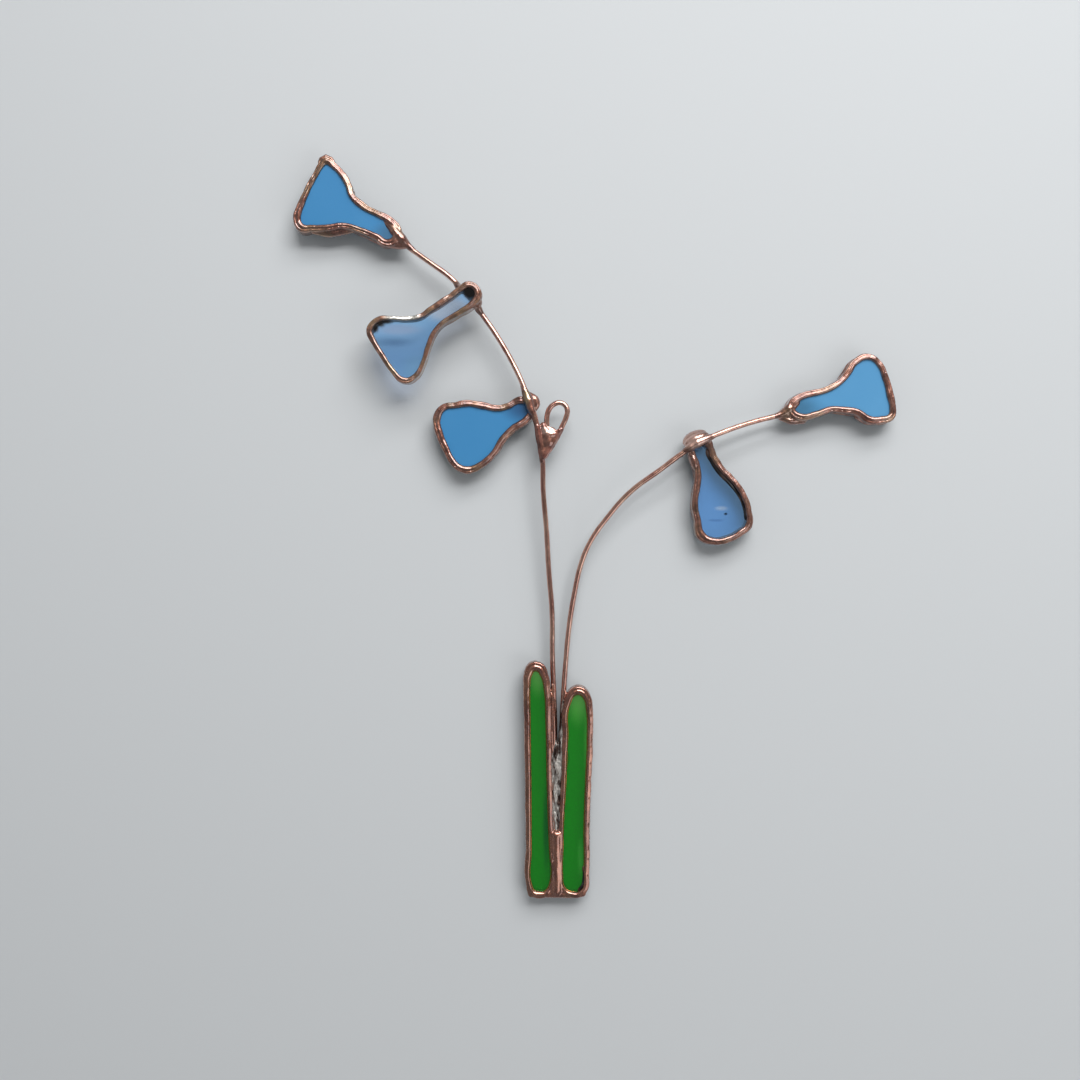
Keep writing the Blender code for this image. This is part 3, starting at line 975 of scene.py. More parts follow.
    def _make_ripple_tree(self) -> bpy.types.NodeTree:
        """Make the tree that gives a skin its coarse and its fine ripples.

        Returns:
            The tree.
        """
        sizes = ("Coarse Depth", "Coarse Length", "Fine Depth", "Fine Length", "Seed")
        tree, given = self._start_tree("solder_ripples", (), sizes)
        place = add_node(tree, "GeometryNodeInputPosition")
        depths = []
        for size in ("Coarse", "Fine"):
            noise = self._wander(tree, place, given[f"{size} Length"], given["Seed"])
            waves = {0: noise, 1: given[f"{size} Depth"]}
            depths.append(add_node(tree, "ShaderNodeMath", waves, operation="MULTIPLY"))
        total = add_node(tree, "ShaderNodeMath", dict(enumerate(depths)), operation="ADD")
        normal = add_node(tree, "GeometryNodeInputNormal")
        offset = add_node(tree, "ShaderNodeVectorMath", {0: normal, "Scale": total}, operation="SCALE")
        moved = add_node(tree, "GeometryNodeSetPosition", {"Geometry": given["Geometry"], "Offset": offset})
        return self._finish_tree(tree, moved, given)

    def _make_wire_tree(self) -> bpy.types.NodeTree:
        """Make the tree that draws a round wire with a thin uneven coat of solder along a route.

        Returns:
            The tree.
        """
        tree, given = self._start_tree(
            "coated_wire", ("Route",), ("Diameter", "Step", "Wander", "Ripple Length", "Seed")
        )
        route = add_node(tree, "GeometryNodeObjectInfo", {"Object": given["Route"]})
        even = add_node(
            tree,
            "GeometryNodeResampleCurve",
            {"Curve": route.outputs["Geometry"], "Length": given["Step"]},
            mode="LENGTH",
        )
        place = add_node(tree, "GeometryNodeInputPosition")
        noise = self._wander(tree, place, given["Ripple Length"], given["Seed"], detail=2.0)
        coat = add_node(
            tree, "ShaderNodeMath", {0: noise, 1: given["Wander"], 2: 1.0}, operation="MULTIPLY_ADD"
        )
        half = add_node(tree, "ShaderNodeMath", {0: given["Diameter"], 1: 0.5}, operation="MULTIPLY")
        circle = add_node(tree, "GeometryNodeCurvePrimitiveCircle", {"Resolution": 20, "Radius": half})
        drawn = add_node(
            tree,
            "GeometryNodeCurveToMesh",
            {"Curve": even, "Profile Curve": circle, "Scale": coat, "Fill Caps": True},
        )
        return self._finish_tree(tree, drawn, given)

    def run_tree(
        self, tree: bpy.types.NodeTree, values: dict[str, object], mesh: bpy.types.Mesh | None = None
    ) -> bpy.types.Mesh:
        """Run a tree once and keep what it makes as a plain mesh.

        Args:
            tree: The tree.
            values: The tree's inputs by name.
            mesh: The mesh that it works on, if it takes one.

        Returns:
            The new mesh.
        """
        worker = self._keep(bpy.data.objects.new(tree.name, mesh or bpy.data.meshes.new(tree.name)))
        step = worker.modifiers.new(tree.name, "NODES")
        step.node_group = tree
        for item in tree.interface.items_tree:
            if item.in_out == "INPUT" and item.name in values:
                step[item.identifier] = values[item.name]
        return self.bake(worker)

    def bake(self, worker: bpy.types.Object) -> bpy.types.Mesh:
        """Turn an object with its modifiers into a plain mesh, and take the object off the bench.

        Args:
            worker: The object.

        Returns:
            The plain mesh.
        """
        bpy.context.view_layer.update()
        graph = bpy.context.evaluated_depsgraph_get()
        result = bpy.data.meshes.new_from_object(worker.evaluated_get(graph))
        bpy.data.objects.remove(worker, do_unlink=True)
        return result

    def melt(self, parts: list[bpy.types.Mesh], skin: Skin, material: bpy.types.Material) -> bpy.types.Mesh:
        """Melt closed shapes that overlap into one skin of solder, and ripple it.

        Args:
            parts: The shapes.
            skin: How the solder sets.
            material: Its material.

        Returns:
            The skin.
        """
        worker = self._keep(bpy.data.objects.new("melt", joined("melt", parts)))
        cells = worker.modifiers.new("cells", "REMESH")
        cells.mode = "VOXEL"
        cells.voxel_size = skin.voxel
        cells.use_smooth_shade = True
        relax = worker.modifiers.new("flow", "SMOOTH")
        relax.factor = 0.5
        relax.iterations = skin.flow
        (coarse_depth, coarse_length), (fine_depth, fine_length) = skin.coarse, skin.fine
        return self.run_tree(
            self.ripple_tree,
            {"Coarse Depth": coarse_depth, "Coarse Length": coarse_length, "Fine Depth": fine_depth,
             "Fine Length": fine_length, "Seed": skin.seed, "Material": material},
            self.bake(worker),
        )

    @staticmethod
    def hand_over(
        name: str, mesh: bpy.types.Mesh, material: bpy.types.Material, slot: Slot, nodes: tuple[str, ...] = ()
    ) -> bpy.types.Object:
        """Put a finished mesh into the ornament.

        Args:
            name: The piece's name.
            mesh: Its mesh, in millimetres.
            material: Its finish.
            slot: The record's slot for it; not used.
            nodes: The frame's nodes that it stands for.

        Returns:
            The piece.
        """
        mesh.transform(Matrix.Diagonal((MM, MM, MM, 1.0)))
        mesh.name = name
        mesh.materials.clear()
        mesh.materials.append(material)
        mesh.shade_smooth()
        piece = bpy.data.objects.new(name, mesh)
        bpy.context.scene.collection.objects.link(piece)
        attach(piece, BODY)
        if nodes:
            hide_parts(*nodes)
        LOG.info("%s: %d faces", name, len(mesh.polygons))
        return piece


class Form:
    """A closed form of solder, foil or glass."""

    def build(self, bench: Workbench) -> bpy.types.Mesh:
        """Make the form's mesh.

        Args:
            bench: The workbench.

        Returns:
            The mesh.
        """
        raise NotImplementedError


@dataclass(frozen=True)
class Drop(Form):
    """A rounded blob: its middle, its half sizes along its own axes, and its turn about Y in degrees."""

    middle: Point3
    half_sizes: Point3
    turn: float = 0.0

    def build(self, bench: Workbench) -> bpy.types.Mesh:
        """Stretch, turn and place a ball.

        Args:
            bench: The workbench.

        Returns:
            The mesh.
        """
        shape = bmesh.new()
        bmesh.ops.create_uvsphere(shape, u_segments=32, v_segments=20, radius=1.0)
        turned = Matrix.Rotation(math.radians(self.turn), 4, "Y")
        place = Matrix.Translation(self.middle) @ turned @ Matrix.Diagonal((*self.half_sizes, 1.0))
        bmesh.ops.transform(shape, matrix=place, verts=shape.verts)
        return as_mesh("drop", shape)


@dataclass(frozen=True)
class Taper(Form):
    """A run of solder that follows a line and swells: points of X, Y, Z and radius."""

    points: tuple[Point4, ...]

    def turned(self) -> Taper:
        """Mirror the run to the back of the glass."""
        return Taper(tuple((x, 2 * GLASS_PLANE - y, z, radius) for x, y, z, radius in self.points))

    def build(self, bench: Workbench) -> bpy.types.Mesh:
        """Sweep a round section along the points, and round both ends.

        Args:
            bench: The workbench.

        Returns:
            The mesh.
        """
        curve = bench.route("taper", self.points)
        curve.data.bevel_depth = 1.0
        curve.data.bevel_resolution = 5
        curve.data.use_fill_caps = True
        shape = bmesh.new()
        shape.from_mesh(bench.bake(curve))
        bmesh.ops.remove_doubles(shape, verts=shape.verts, dist=SAME_POINT)
        for *place, radius in (self.points[0], self.points[-1]):
            ball = bmesh.ops.create_uvsphere(shape, u_segments=16, v_segments=10, radius=radius)
            bmesh.ops.translate(shape, verts=ball["verts"], vec=place)
        return as_mesh("taper", shape)


@dataclass(frozen=True)
class Sheet(Form):
    """A flat plate with a smooth outline of X and Z, its middle at a depth."""

    outline: tuple[Point2, ...]
    middle: float
    thickness: float

    def build(self, bench: Workbench) -> bpy.types.Mesh:
        """Fill the outline, and give it its thickness.

        Args:
            bench: The workbench.

        Returns:
            The mesh.
        """
        curve = bench.outline("sheet", tuple((x, z, 1.0) for x, z in self.outline), 0.0)
        shape = bmesh.new()
        shape.from_mesh(bench.bake(curve))
        bmesh.ops.remove_doubles(shape, verts=shape.verts, dist=SAME_POINT)
        front = self.middle - self.thickness / 2
        bmesh.ops.translate(shape, verts=shape.verts, vec=(0.0, front, 0.0))
        face = bmesh.ops.contextual_create(shape, geom=shape.edges[:])["faces"]
        drawn = bmesh.ops.extrude_face_region(shape, geom=face)["geom"]
        back = [part for part in drawn if isinstance(part, bmesh.types.BMVert)]
        bmesh.ops.translate(shape, verts=back, vec=(0.0, self.thickness, 0.0))
        bmesh.ops.recalc_face_normals(shape, faces=shape.faces)
        return as_mesh("sheet", shape)


@dataclass
class Rim:
    """Foil and solder round one piece of glass: a bead on each face and the soldered edge between them.

    The swell is how far the solder stands out past the frame's bead.
    """

    outline: tuple[OutlinePoint, ...]
    plane: float
    bead_width: float = 1.4
    bead_height: float = 0.8
    swell: float = 0.3
    wander: float = 0.14
    ripple_length: float = 4.5
    seed: float = 0.0
    # How far beads and edge run into one another, where each starts, and the share of the bead's width that
    # the edge reaches
    overlap: float = 0.05
    bead_start: float = 0.04
    edge_start: float = 0.08
    edge_share: float = 0.93

    def solder(self, bench: Workbench) -> list[bpy.types.Mesh]:
        """Sweep the two beads and the edge.

        Args:
            bench: The workbench.

        Returns:
            The three closed rings.
        """
        full = self.bead_width + self.swell
        curve = bench.outline("rim", self.outline, self.plane)
        shared = {
            "Outline": curve, "Step": SWEEP_STEP, "Far Share": 1.0, "Ripple Length": self.ripple_length
        }
        rings = [
            {"Profile": bench.bead, "Near": self.bead_start, "Far": full,
             "Base": side * (FACE - self.overlap), "Rise": side * self.bead_height, "Wander": self.wander,
             "Seed": self.seed + BACK_SEED * index}
            for index, side in enumerate((-1, 1))
        ]
        rings.append(
            {"Profile": bench.square, "Near": self.bead_width - EDGE_SOLDER + self.edge_start,
             "Far": self.edge_share * full, "Base": -FACE - self.overlap, "Rise": 2 * (FACE + self.overlap),
             "Wander": 0.0, "Seed": self.seed}
        )
        return [outward_facing(bench.run_tree(bench.sweep_tree, {**shared, **ring})) for ring in rings]

    def bands(self, bench: Workbench, sizes: tuple[Point4, ...]) -> bpy.types.Mesh:
        """Sweep thin bands round the glass.

        Args:
            bench: The workbench.
            sizes: For each band, how far out from the visible glass it starts and ends, the depth at which it
                starts, from the middle of the glass, and its own thickness there.

        Returns:
            All bands in one mesh.
        """
        curve = bench.outline("foil", self.outline, self.plane)
        shared = {
            "Outline": curve, "Profile": bench.square, "Step": SWEEP_STEP, "Far Share": 0.0, "Wander": 0.0,
            "Ripple Length": 2.0, "Seed": self.seed,
        }
        bands = [
            bench.run_tree(bench.sweep_tree, {**shared, "Near": near, "Far": far, "Base": base, "Rise": rise})
            for near, far, base, rise in sizes
        ]
        return joined("bands", [outward_facing(band) for band in bands])

    def lining(self, bench: Workbench) -> bpy.types.Mesh:
        """Make the foil's inner side, which shows through clear glass: its edge band and both folded strips.

        Args:
            bench: The workbench.

        Returns:
            The three bands, of which the one behind reaches past the bead.
        """
        foil, gap, behind = 0.04, 0.06, 0.15
        edge = self.bead_width - EDGE_SOLDER - 2 * gap
        return self.bands(
            bench,
            (
                (edge - foil, edge, gap - FACE, 2 * (FACE - gap)),
                (gap, edge, gap - FACE, foil),
                (-behind, edge, FACE - gap - foil, foil),
            ),
        )

    def foil_edge(self, bench: Workbench) -> bpy.types.Mesh:
        """Make the line of bare foil on the front and the back that the solder left uncovered.

        Args:
            bench: The workbench.

        Returns:
            Both lines, which run on under the bead.
        """
        width, under, lift, thickness = 0.04, 0.35, 0.05, 0.06
        return self.bands(
            bench,
            tuple((-width, under, base, thickness) for base in (-FACE - lift, FACE + lift - thickness)),
        )


@dataclass
class Flower:
    """One bell: its rim, the solder that holds it to the stem, and the foil that shows through clear glass.

    Patches are folded foil that reaches further over the back of the glass, in place of the plain lining;
    their near-black is partly painted shade.
    The flux line is a black line on the front, along the bead, that stands for the rim's inner wall seen
    through the
    glass: dark foil with painted shade.
    """

    number: int
    rim: Rim
    joints: tuple[Form, ...]
    finish: PatinaSolder
    lining: FoilBacking | None = None
    patches: tuple[tuple[Point2, ...], ...] = ()
    flux: tuple[Point2, ...] = ()

    def build(self, bench: Workbench, solder: bpy.types.Material) -> None:
        """Make the rim and, on clear glass, the lining.

        Args:
            bench: The workbench.
            solder: The rim's material.
        """
        parts = self.rim.solder(bench) + [joint.build(bench) for joint in self.joints]
        skin = Skin(voxel=0.15, flow=3, coarse=(0.10, 3.0), fine=(0.015, 1.2), seed=self.rim.seed)
        metal = bench.melt(parts, skin, solder)
        bench.hand_over(
            f"solder_bell_{self.number}", metal, solder, Slot.SOLDER, (f"rim_bell_{self.number}",)
        )
        if self.lining is None:
            return
        foil = [] if self.patches else [self.rim.lining(bench)]
        sheets = [Sheet(patch, self.rim.plane + FACE + 0.06, thickness=0.05) for patch in self.patches]
        if self.flux:
            sheets.append(Sheet(self.flux, self.rim.plane - FACE - 0.03, thickness=0.06))
        foil += [sheet.build(bench) for sheet in sheets]
        bench.hand_over(f"foil_bell_{self.number}", joined("lining", foil), self.lining.build(), Slot.FOIL)


@dataclass
class Leaves:
    """The two leaves' rims and the solder that runs together between them, round both stems."""

    left: Rim
    right: Rim
    # Fill between the beads, from the gap's foot down to the base
    fill: Sheet = Sheet(
        ((-2.2, -85.4), (-0.5, -86.4), (1.1, -85.4), (0.8, -95.0), (0.3, -108.0), (0.4, -121.0),
         (-0.8, -121.9), (-2.2, -121.2), (-1.8, -108.0), (-2.1, -95.0)),
        GLASS_PLANE, thickness=2.2,
    )
    # Mound over the lower seam, a run along each stem, and the straight base under both leaves
    runs: tuple[Taper, ...] = (
        Taper(((-0.9, 0.7, -106.9, 1.4), (-0.85, 0.7, -108.2, 1.4), (-0.8, 0.75, -110.5, 1.35),
               (-0.75, 0.75, -114.0, 1.3), (-0.75, 0.75, -118.0, 1.4), (-0.8, 0.9, -120.6, 1.6))),
        Taper(((-1.75, 1.4, -69.5, 0.3), (-1.75, 1.2, -73.0, 0.55), (-1.6, 1.0, -78.0, 0.68),
               (-1.5, 0.95, -84.0, 0.62), (-1.9, 1.0, -88.0, 0.35), (-1.9, 1.0, -96.0, 0.3),
               (-1.8, 1.0, -106.0, 0.4))),
        Taper(((1.4, 1.4, -71.2, 0.3), (1.15, 1.3, -74.5, 0.5), (0.9, 1.2, -79.0, 0.55),
               (0.7, 1.2, -84.0, 0.45), (0.6, 1.2, -90.0, 0.3), (0.4, 1.2, -98.0, 0.3),
               (0.2, 1.0, -106.0, 0.4))),
        Taper(((-7.0, 0.7, -121.2, 0.75), (-4.8, 0.6, -121.6, 0.8), (-0.6, 0.7, -121.7, 0.85),
               (4.3, 0.6, -121.7, 0.8), (5.8, 0.7, -121.2, 0.75))),
    )
    # Where the mound begins, in front
    mound_top: Drop = Drop((-0.85, 0.5, -106.6), (1.6, 1.1, 0.85))
    # Square corners of the base
    corners: tuple[Sheet, ...] = (
        Sheet(((-8.0, -119.6), (-8.0, -121.4), (-7.6, -122.1), (-6.8, -122.3), (-5.2, -122.2),
               (-6.6, -121.2), (-7.5, -120.2)), GLASS_PLANE, thickness=3.8),
        Sheet(((6.5, -119.8), (6.5, -121.4), (6.1, -122.0), (5.3, -122.2), (3.8, -122.1),
               (5.2, -121.3), (6.0, -120.4)), GLASS_PLANE, thickness=3.8),
    )
    # A dark sheet on the front of the glass in the right leaf's lower corner, where the glass falls short of
    # the foil:
    # the foil, and painted shade in that gap
    wedge: Sheet = Sheet(
        ((6.0, -114.6), (6.3, -117.4), (6.2, -120.9), (4.6, -121.0), (5.5, -118.8), (5.75, -116.6)),
        GLASS_PLANE - FACE - 0.04, thickness=0.06,
    )

    def build(self, bench: Workbench, solder: bpy.types.Material, foil: bpy.types.Material) -> None:
        """Make the frame of both leaves and the foil that shows through their glass and along it.

        Args:
            bench: The workbench.
            solder: The frame's material.
            foil: The lining's material.
        """
        parts = [*self.left.solder(bench), *self.right.solder(bench), self.fill.build(bench)]
        for run in self.runs:
            parts += [run.build(bench), run.turned().build(bench)]
        parts += [form.build(bench) for form in (self.mound_top, *self.corners)]
        skin = Skin(voxel=0.19, flow=3, coarse=(0.08, 3.6), fine=(0.015, 1.4), seed=4.0)
        frame = bench.melt(parts, skin, solder)
        bench.hand_over("solder_leaves", frame, solder, Slot.SOLDER, ("leaf_frame",))

        rims = (self.left, self.right)
        lining = joined("lining", [*[rim.lining(bench) for rim in rims], self.wedge.build(bench)])
        bench.hand_over("foil_leaves", lining, foil, Slot.FOIL)
        edges = joined("edges", [rim.foil_edge(bench) for rim in rims])
        bench.hand_over("foil_edge_leaves", edges, CopperFoil("bare_copper_foil").build(), Slot.SOLDER)


@dataclass
class Groove:
    """The groove between the leaves, above the mound, where the solder stayed bare and lumpy."""

    bed: Sheet = Sheet(
        ((-1.8, -83.6), (-0.5, -84.4), (0.3, -83.4), (0.2, -95.0), (-0.1, -106.6), (-1.8, -106.6),
         (-1.9, -95.0)),
        GLASS_PLANE, thickness=3.0,
    )
    # The thick starts of both runs, at the groove's top
    runs: tuple[Taper, ...] = (
        Taper(((0.85, 1.1, -73.5, 0.3), (0.65, 0.95, -77.5, 0.55), (0.4, 0.9, -82.0, 0.62),
               (0.1, 0.9, -86.0, 0.6))),
        Taper(((-1.55, 1.25, -79.5, 0.3), (-1.35, 1.05, -82.5, 0.55), (-1.2, 1.0, -86.0, 0.65),
               (-1.1, 0.9, -90.0, 0.6))),
    )
    # Lumps in pairs, one in front and one behind: how many, the first one's Z, and how far they reach
    pairs: int = 11
    top: float = -86.0
    reach: float = 18.8
    # Between what each lump's X, its half sizes and its turn lie
    places: tuple[float, float] = (-1.4, -0.2)
    half_sizes: tuple[tuple[float, float], ...] = ((0.28, 0.5), (0.2, 0.36), (1.4, 2.8))
    turns: tuple[float, float] = (-8.0, 8.0)
    seed: int = 11

    def _lumps(self) -> list[Drop]:
        """Scatter the lumps by the seed.

        Returns:
            The lumps, from the top down.
        """
        chance = random.Random(self.seed)
        lumps = []
        for step in range(self.pairs):
            z = self.top - self.reach * step / (self.pairs - 1)
            for side in (-1, 1):
                x = chance.uniform(*self.places)
                half_sizes = tuple(chance.uniform(*limits) for limits in self.half_sizes)
                lumps.append(Drop((x, GLASS_PLANE + side * FACE, z), half_sizes, chance.uniform(*self.turns)))
        return lumps

    def build(self, bench: Workbench, metal: bpy.types.Material) -> None:
        """Make the bare solder.

        Args:
            bench: The workbench.
            metal: Its material.
        """
        forms = [self.bed, *self._lumps()]
        for run in self.runs:
            forms += [run, run.turned()]
        parts = [form.build(bench) for form in forms]
        skin = Skin(voxel=0.13, flow=2, coarse=(0.10, 1.2), fine=(0.03, 0.5), seed=5.0)
        bench.hand_over("solder_groove", bench.melt(parts, skin, metal), metal, Slot.BARE_SOLDER)


@dataclass
class Wires:
    """The two stems and the hanging eye, drawn in tinned copper wire."""

    diameter: float = 1.32
    step: float = 0.3
    wander: float = 0.05
    ripple_length: float = 2.5

    def build(self, bench: Workbench, wire: bpy.types.Material) -> None:
        """Draw each wire along its route.

        Args:
            bench: The workbench.
            wire: The wires' material.
        """
        routes = {"stem_left": STEM_LEFT, "stem_right": STEM_RIGHT, "hang_loop": HANG_LOOP}
        for seed, (node, route) in enumerate(routes.items(), 1):
            path = bench.route(node, tuple((*place, 1.0) for place in route))
            mesh = bench.run_tree(
                bench.wire_tree,
                {"Route": path, "Diameter": self.diameter, "Step": self.step, "Wander": self.wander,
                 "Ripple Length": self.ripple_length, "Seed": float(seed), "Material": wire},
            )
            bench.hand_over(f"wire_{node}", mesh, wire, Slot.WIRE, (node,))


@dataclass
class EyeSolder:
    """The web of solder that holds the hanging eye to the left stem, domed, with a run down each wire."""

    web: Sheet = Sheet(
        ((-5.6, -5.4), (-4.6, -5.6), (-3.4, -5.2), (-2.1, -5.6), (-0.9, -6.2), (0.1, -6.0), (-0.4, -8.0),
         (-1.7, -10.4), (-2.9, -12.3), (-3.9, -13.4), (-4.8, -11.2), (-5.4, -8.4)),
        0.15, thickness=2.3,
    )
    dome: Drop = Drop((-2.9, 0.0, -7.4), (2.5, 1.4, 2.0), -20)
    lump: Taper = Taper(((-4.1, -0.2, -5.0, 0.8), (-3.6, -0.35, -6.2, 1.15), (-2.5, -0.35, -7.3, 1.15),
                         (-1.0, -0.1, -7.2, 0.95)))
    belly: Drop = Drop((-2.8, -0.1, -8.8), (1.9, 1.25, 2.7), 14)
    fold: Taper = Taper(((-3.2, -0.5, -7.0, 1.1), (-3.0, -0.45, -9.2, 0.9), (-3.4, -0.3, -11.6, 0.6)))
    stem_run: Taper = Taper(((-5.6, -0.6, -5.2, 0.75), (-5.1, -0.4, -8.0, 0.95), (-4.5, -0.1, -11.5, 0.95),
                             (-4.3, 0.0, -14.0, 0.7)))
    eye_run: Taper = Taper(((0.3, 0.0, -6.0, 0.74), (-0.7, 0.0, -7.8, 0.85), (-2.2, 0.0, -10.4, 0.8),
                            (-3.7, 0.1, -12.9, 0.6)))

    def build(self, bench: Workbench, solder: bpy.types.Material) -> None:
        """Make the web.

        Args:
            bench: The workbench.
            solder: Its material.
        """
        forms = (self.web, self.dome, self.lump, self.belly, self.fold, self.stem_run, self.eye_run)
        parts = [form.build(bench) for form in forms]
        skin = Skin(voxel=0.12, flow=9, coarse=(0.06, 2.2), fine=(0.01, 1.0), seed=9.0)
        web = bench.melt(parts, skin, solder)
        bench.hand_over("solder_eye", web, solder, Slot.SOLDER, ("loop_solder",))


@dataclass(frozen=True)
class Panel:
    """A broad soft light, as seen from the ornament's middle, which it faces.

    Its bearing is in degrees to the right of straight ahead and its height in degrees above level. Its
    distance, its size and the middle are in metres.
    """

    bearing: float
    height: float
    distance: float
    size: tuple[float, float]
    power: float
    middle: Point3 = (0.0, 0.0, -0.03)

    def hang(self, name: str) -> None:
        """Hang the light.

        Args:
            name: The light's name.
        """
        data = bpy.data.lights.new(name, "AREA")
        data.shape = "RECTANGLE"
        data.size, data.size_y = self.size
        data.energy = self.power
        lamp = bpy.data.objects.new(name, data)
        bearing, height = math.radians(self.bearing), math.radians(self.height)
        way = Vector(
            (math.sin(bearing) * math.cos(height), -math.cos(bearing) * math.cos(height), math.sin(height))
        )
        lamp.location = Vector(self.middle) + self.distance * way
        lamp.rotation_euler = (-way).to_track_quat("-Z", "Y").to_euler()
        bpy.context.scene.collection.objects.link(lamp)


@dataclass
class Studio:
    """Pale wall and floor, soft light from above, and the photograph's viewpoint."""

    camera_place: Point3 = (-4.9, -298.0, -33.5)
    half_view: float = 135.0
    view_distance: float = 300.0
    sensor: float = 36.0
    wall_depth: float = 5.6
    wall_lean: float = 0.009
    paint_colour: str = "#CFD2D4"
    # Two soft lights above, a weak one low on the right, and a thin one on each side that edges the metal
    panels: tuple[Panel, ...] = (
        Panel(17.0, 31.0, 0.78, (0.64, 0.22), 3.3),
        Panel(17.0, 51.0, 0.86, (0.74, 0.22), 2.85),
        Panel(42.0, -24.0, 0.75, (0.5, 0.4), 0.72),
        Panel(66.0, 6.0, 1.0, (0.05, 1.1), 0.2),
        Panel(-62.0, 6.0, 1.0, (0.05, 1.1), 0.2),
    )
    room: float = 0.24
    room_colour: str = "#F2F3F4"
    # Shares of the room's light towards the floor and towards the ceiling
    room_shares: tuple[float, float] = (0.45, 1.55)
    floor_drop: float = 1.6

    def build(self) -> None:
        """Make the camera, the stage and the light."""
        self._camera()
        self._stage()
        self._lights()
        self._room()
        self._exposure()

    def _camera(self) -> None:
        """Look level at the wall, from where the photograph was taken."""
        data = bpy.data.cameras.new("camera")
        data.sensor_width = self.sensor
        data.lens = data.sensor_width / 2 * self.view_distance / self.half_view
        data.clip_start = 0.01
        camera = bpy.data.objects.new("camera", data)
        camera.location = [value * MM for value in self.camera_place]
        camera.rotation_euler = (math.pi / 2, 0.0, 0.0)
        bpy.context.scene.collection.objects.link(camera)
        bpy.context.scene.camera = camera

    def _stage(self) -> None:
        """Set the wall behind the ornament, a touch further off at the foot, and the floor well below it."""
        plates = (
            ("wall", (0.0, self.wall_depth * MM, 0.0), (math.pi / 2 - self.wall_lean, 0.0, 0.0), 3.2, True),
            ("floor", (0.0, 0.0, -self.floor_drop), (0.0, 0.0, 0.0), 8.0, False),
        )
        for name, place, turn, size, one_sided in plates:
            shape = bmesh.new()
            bmesh.ops.create_grid(shape, x_segments=1, y_segments=1, size=size / 2)
            mesh = as_mesh(name, shape)
            mesh.materials.append(MattPaint(f"matt_paint_{name}", self.paint_colour, one_sided).build())
            plate = bpy.data.objects.new(name, mesh)
            plate.location = place
            plate.rotation_euler = turn
            bpy.context.scene.collection.objects.link(plate)

    def _lights(self) -> None:
        """Hang the soft lights."""
        for number, panel in enumerate(self.panels, 1):
            panel.hang(f"soft_light_{number}")

    def _room(self) -> None:
        """Fill from a dim pale room, lighter towards its ceiling than towards its floor."""
        world = bpy.data.worlds.new("pale_room")
        bpy.context.scene.world = world
        world.use_nodes = True
        tree = world.node_tree
        tree.nodes.clear()
        direction = add_node(tree, "ShaderNodeTexCoord").outputs["Generated"]
        axes = add_node(tree, "ShaderNodeSeparateXYZ", {"Vector": direction})
        low, high = self.room_shares
        level = add_node(
            tree,
            "ShaderNodeMapRange",
            {"Value": axes.outputs["Z"], "From Min": -0.7, "From Max": 0.7, "To Min": low * self.room,
             "To Max": high * self.room},
        )
        light = {"Color": linear(self.room_colour), "Strength": level}
        sky = add_node(tree, "ShaderNodeBackground", light)
        add_node(tree, "ShaderNodeOutputWorld", {"Surface": sky})

    def _exposure(self) -> None:
        """Show colours as they are, and let light pass through all the glass."""
        scene = bpy.context.scene
        scene.view_settings.view_transform = "Standard"
        scene.view_settings.look = "None"
        scene.cycles.use_denoising = True
        scene.cycles.caustics_reflective = False
        scene.cycles.max_bounces = 12
        scene.cycles.transparent_max_bounces = 16
        scene.cycles.transmission_bounces = 10


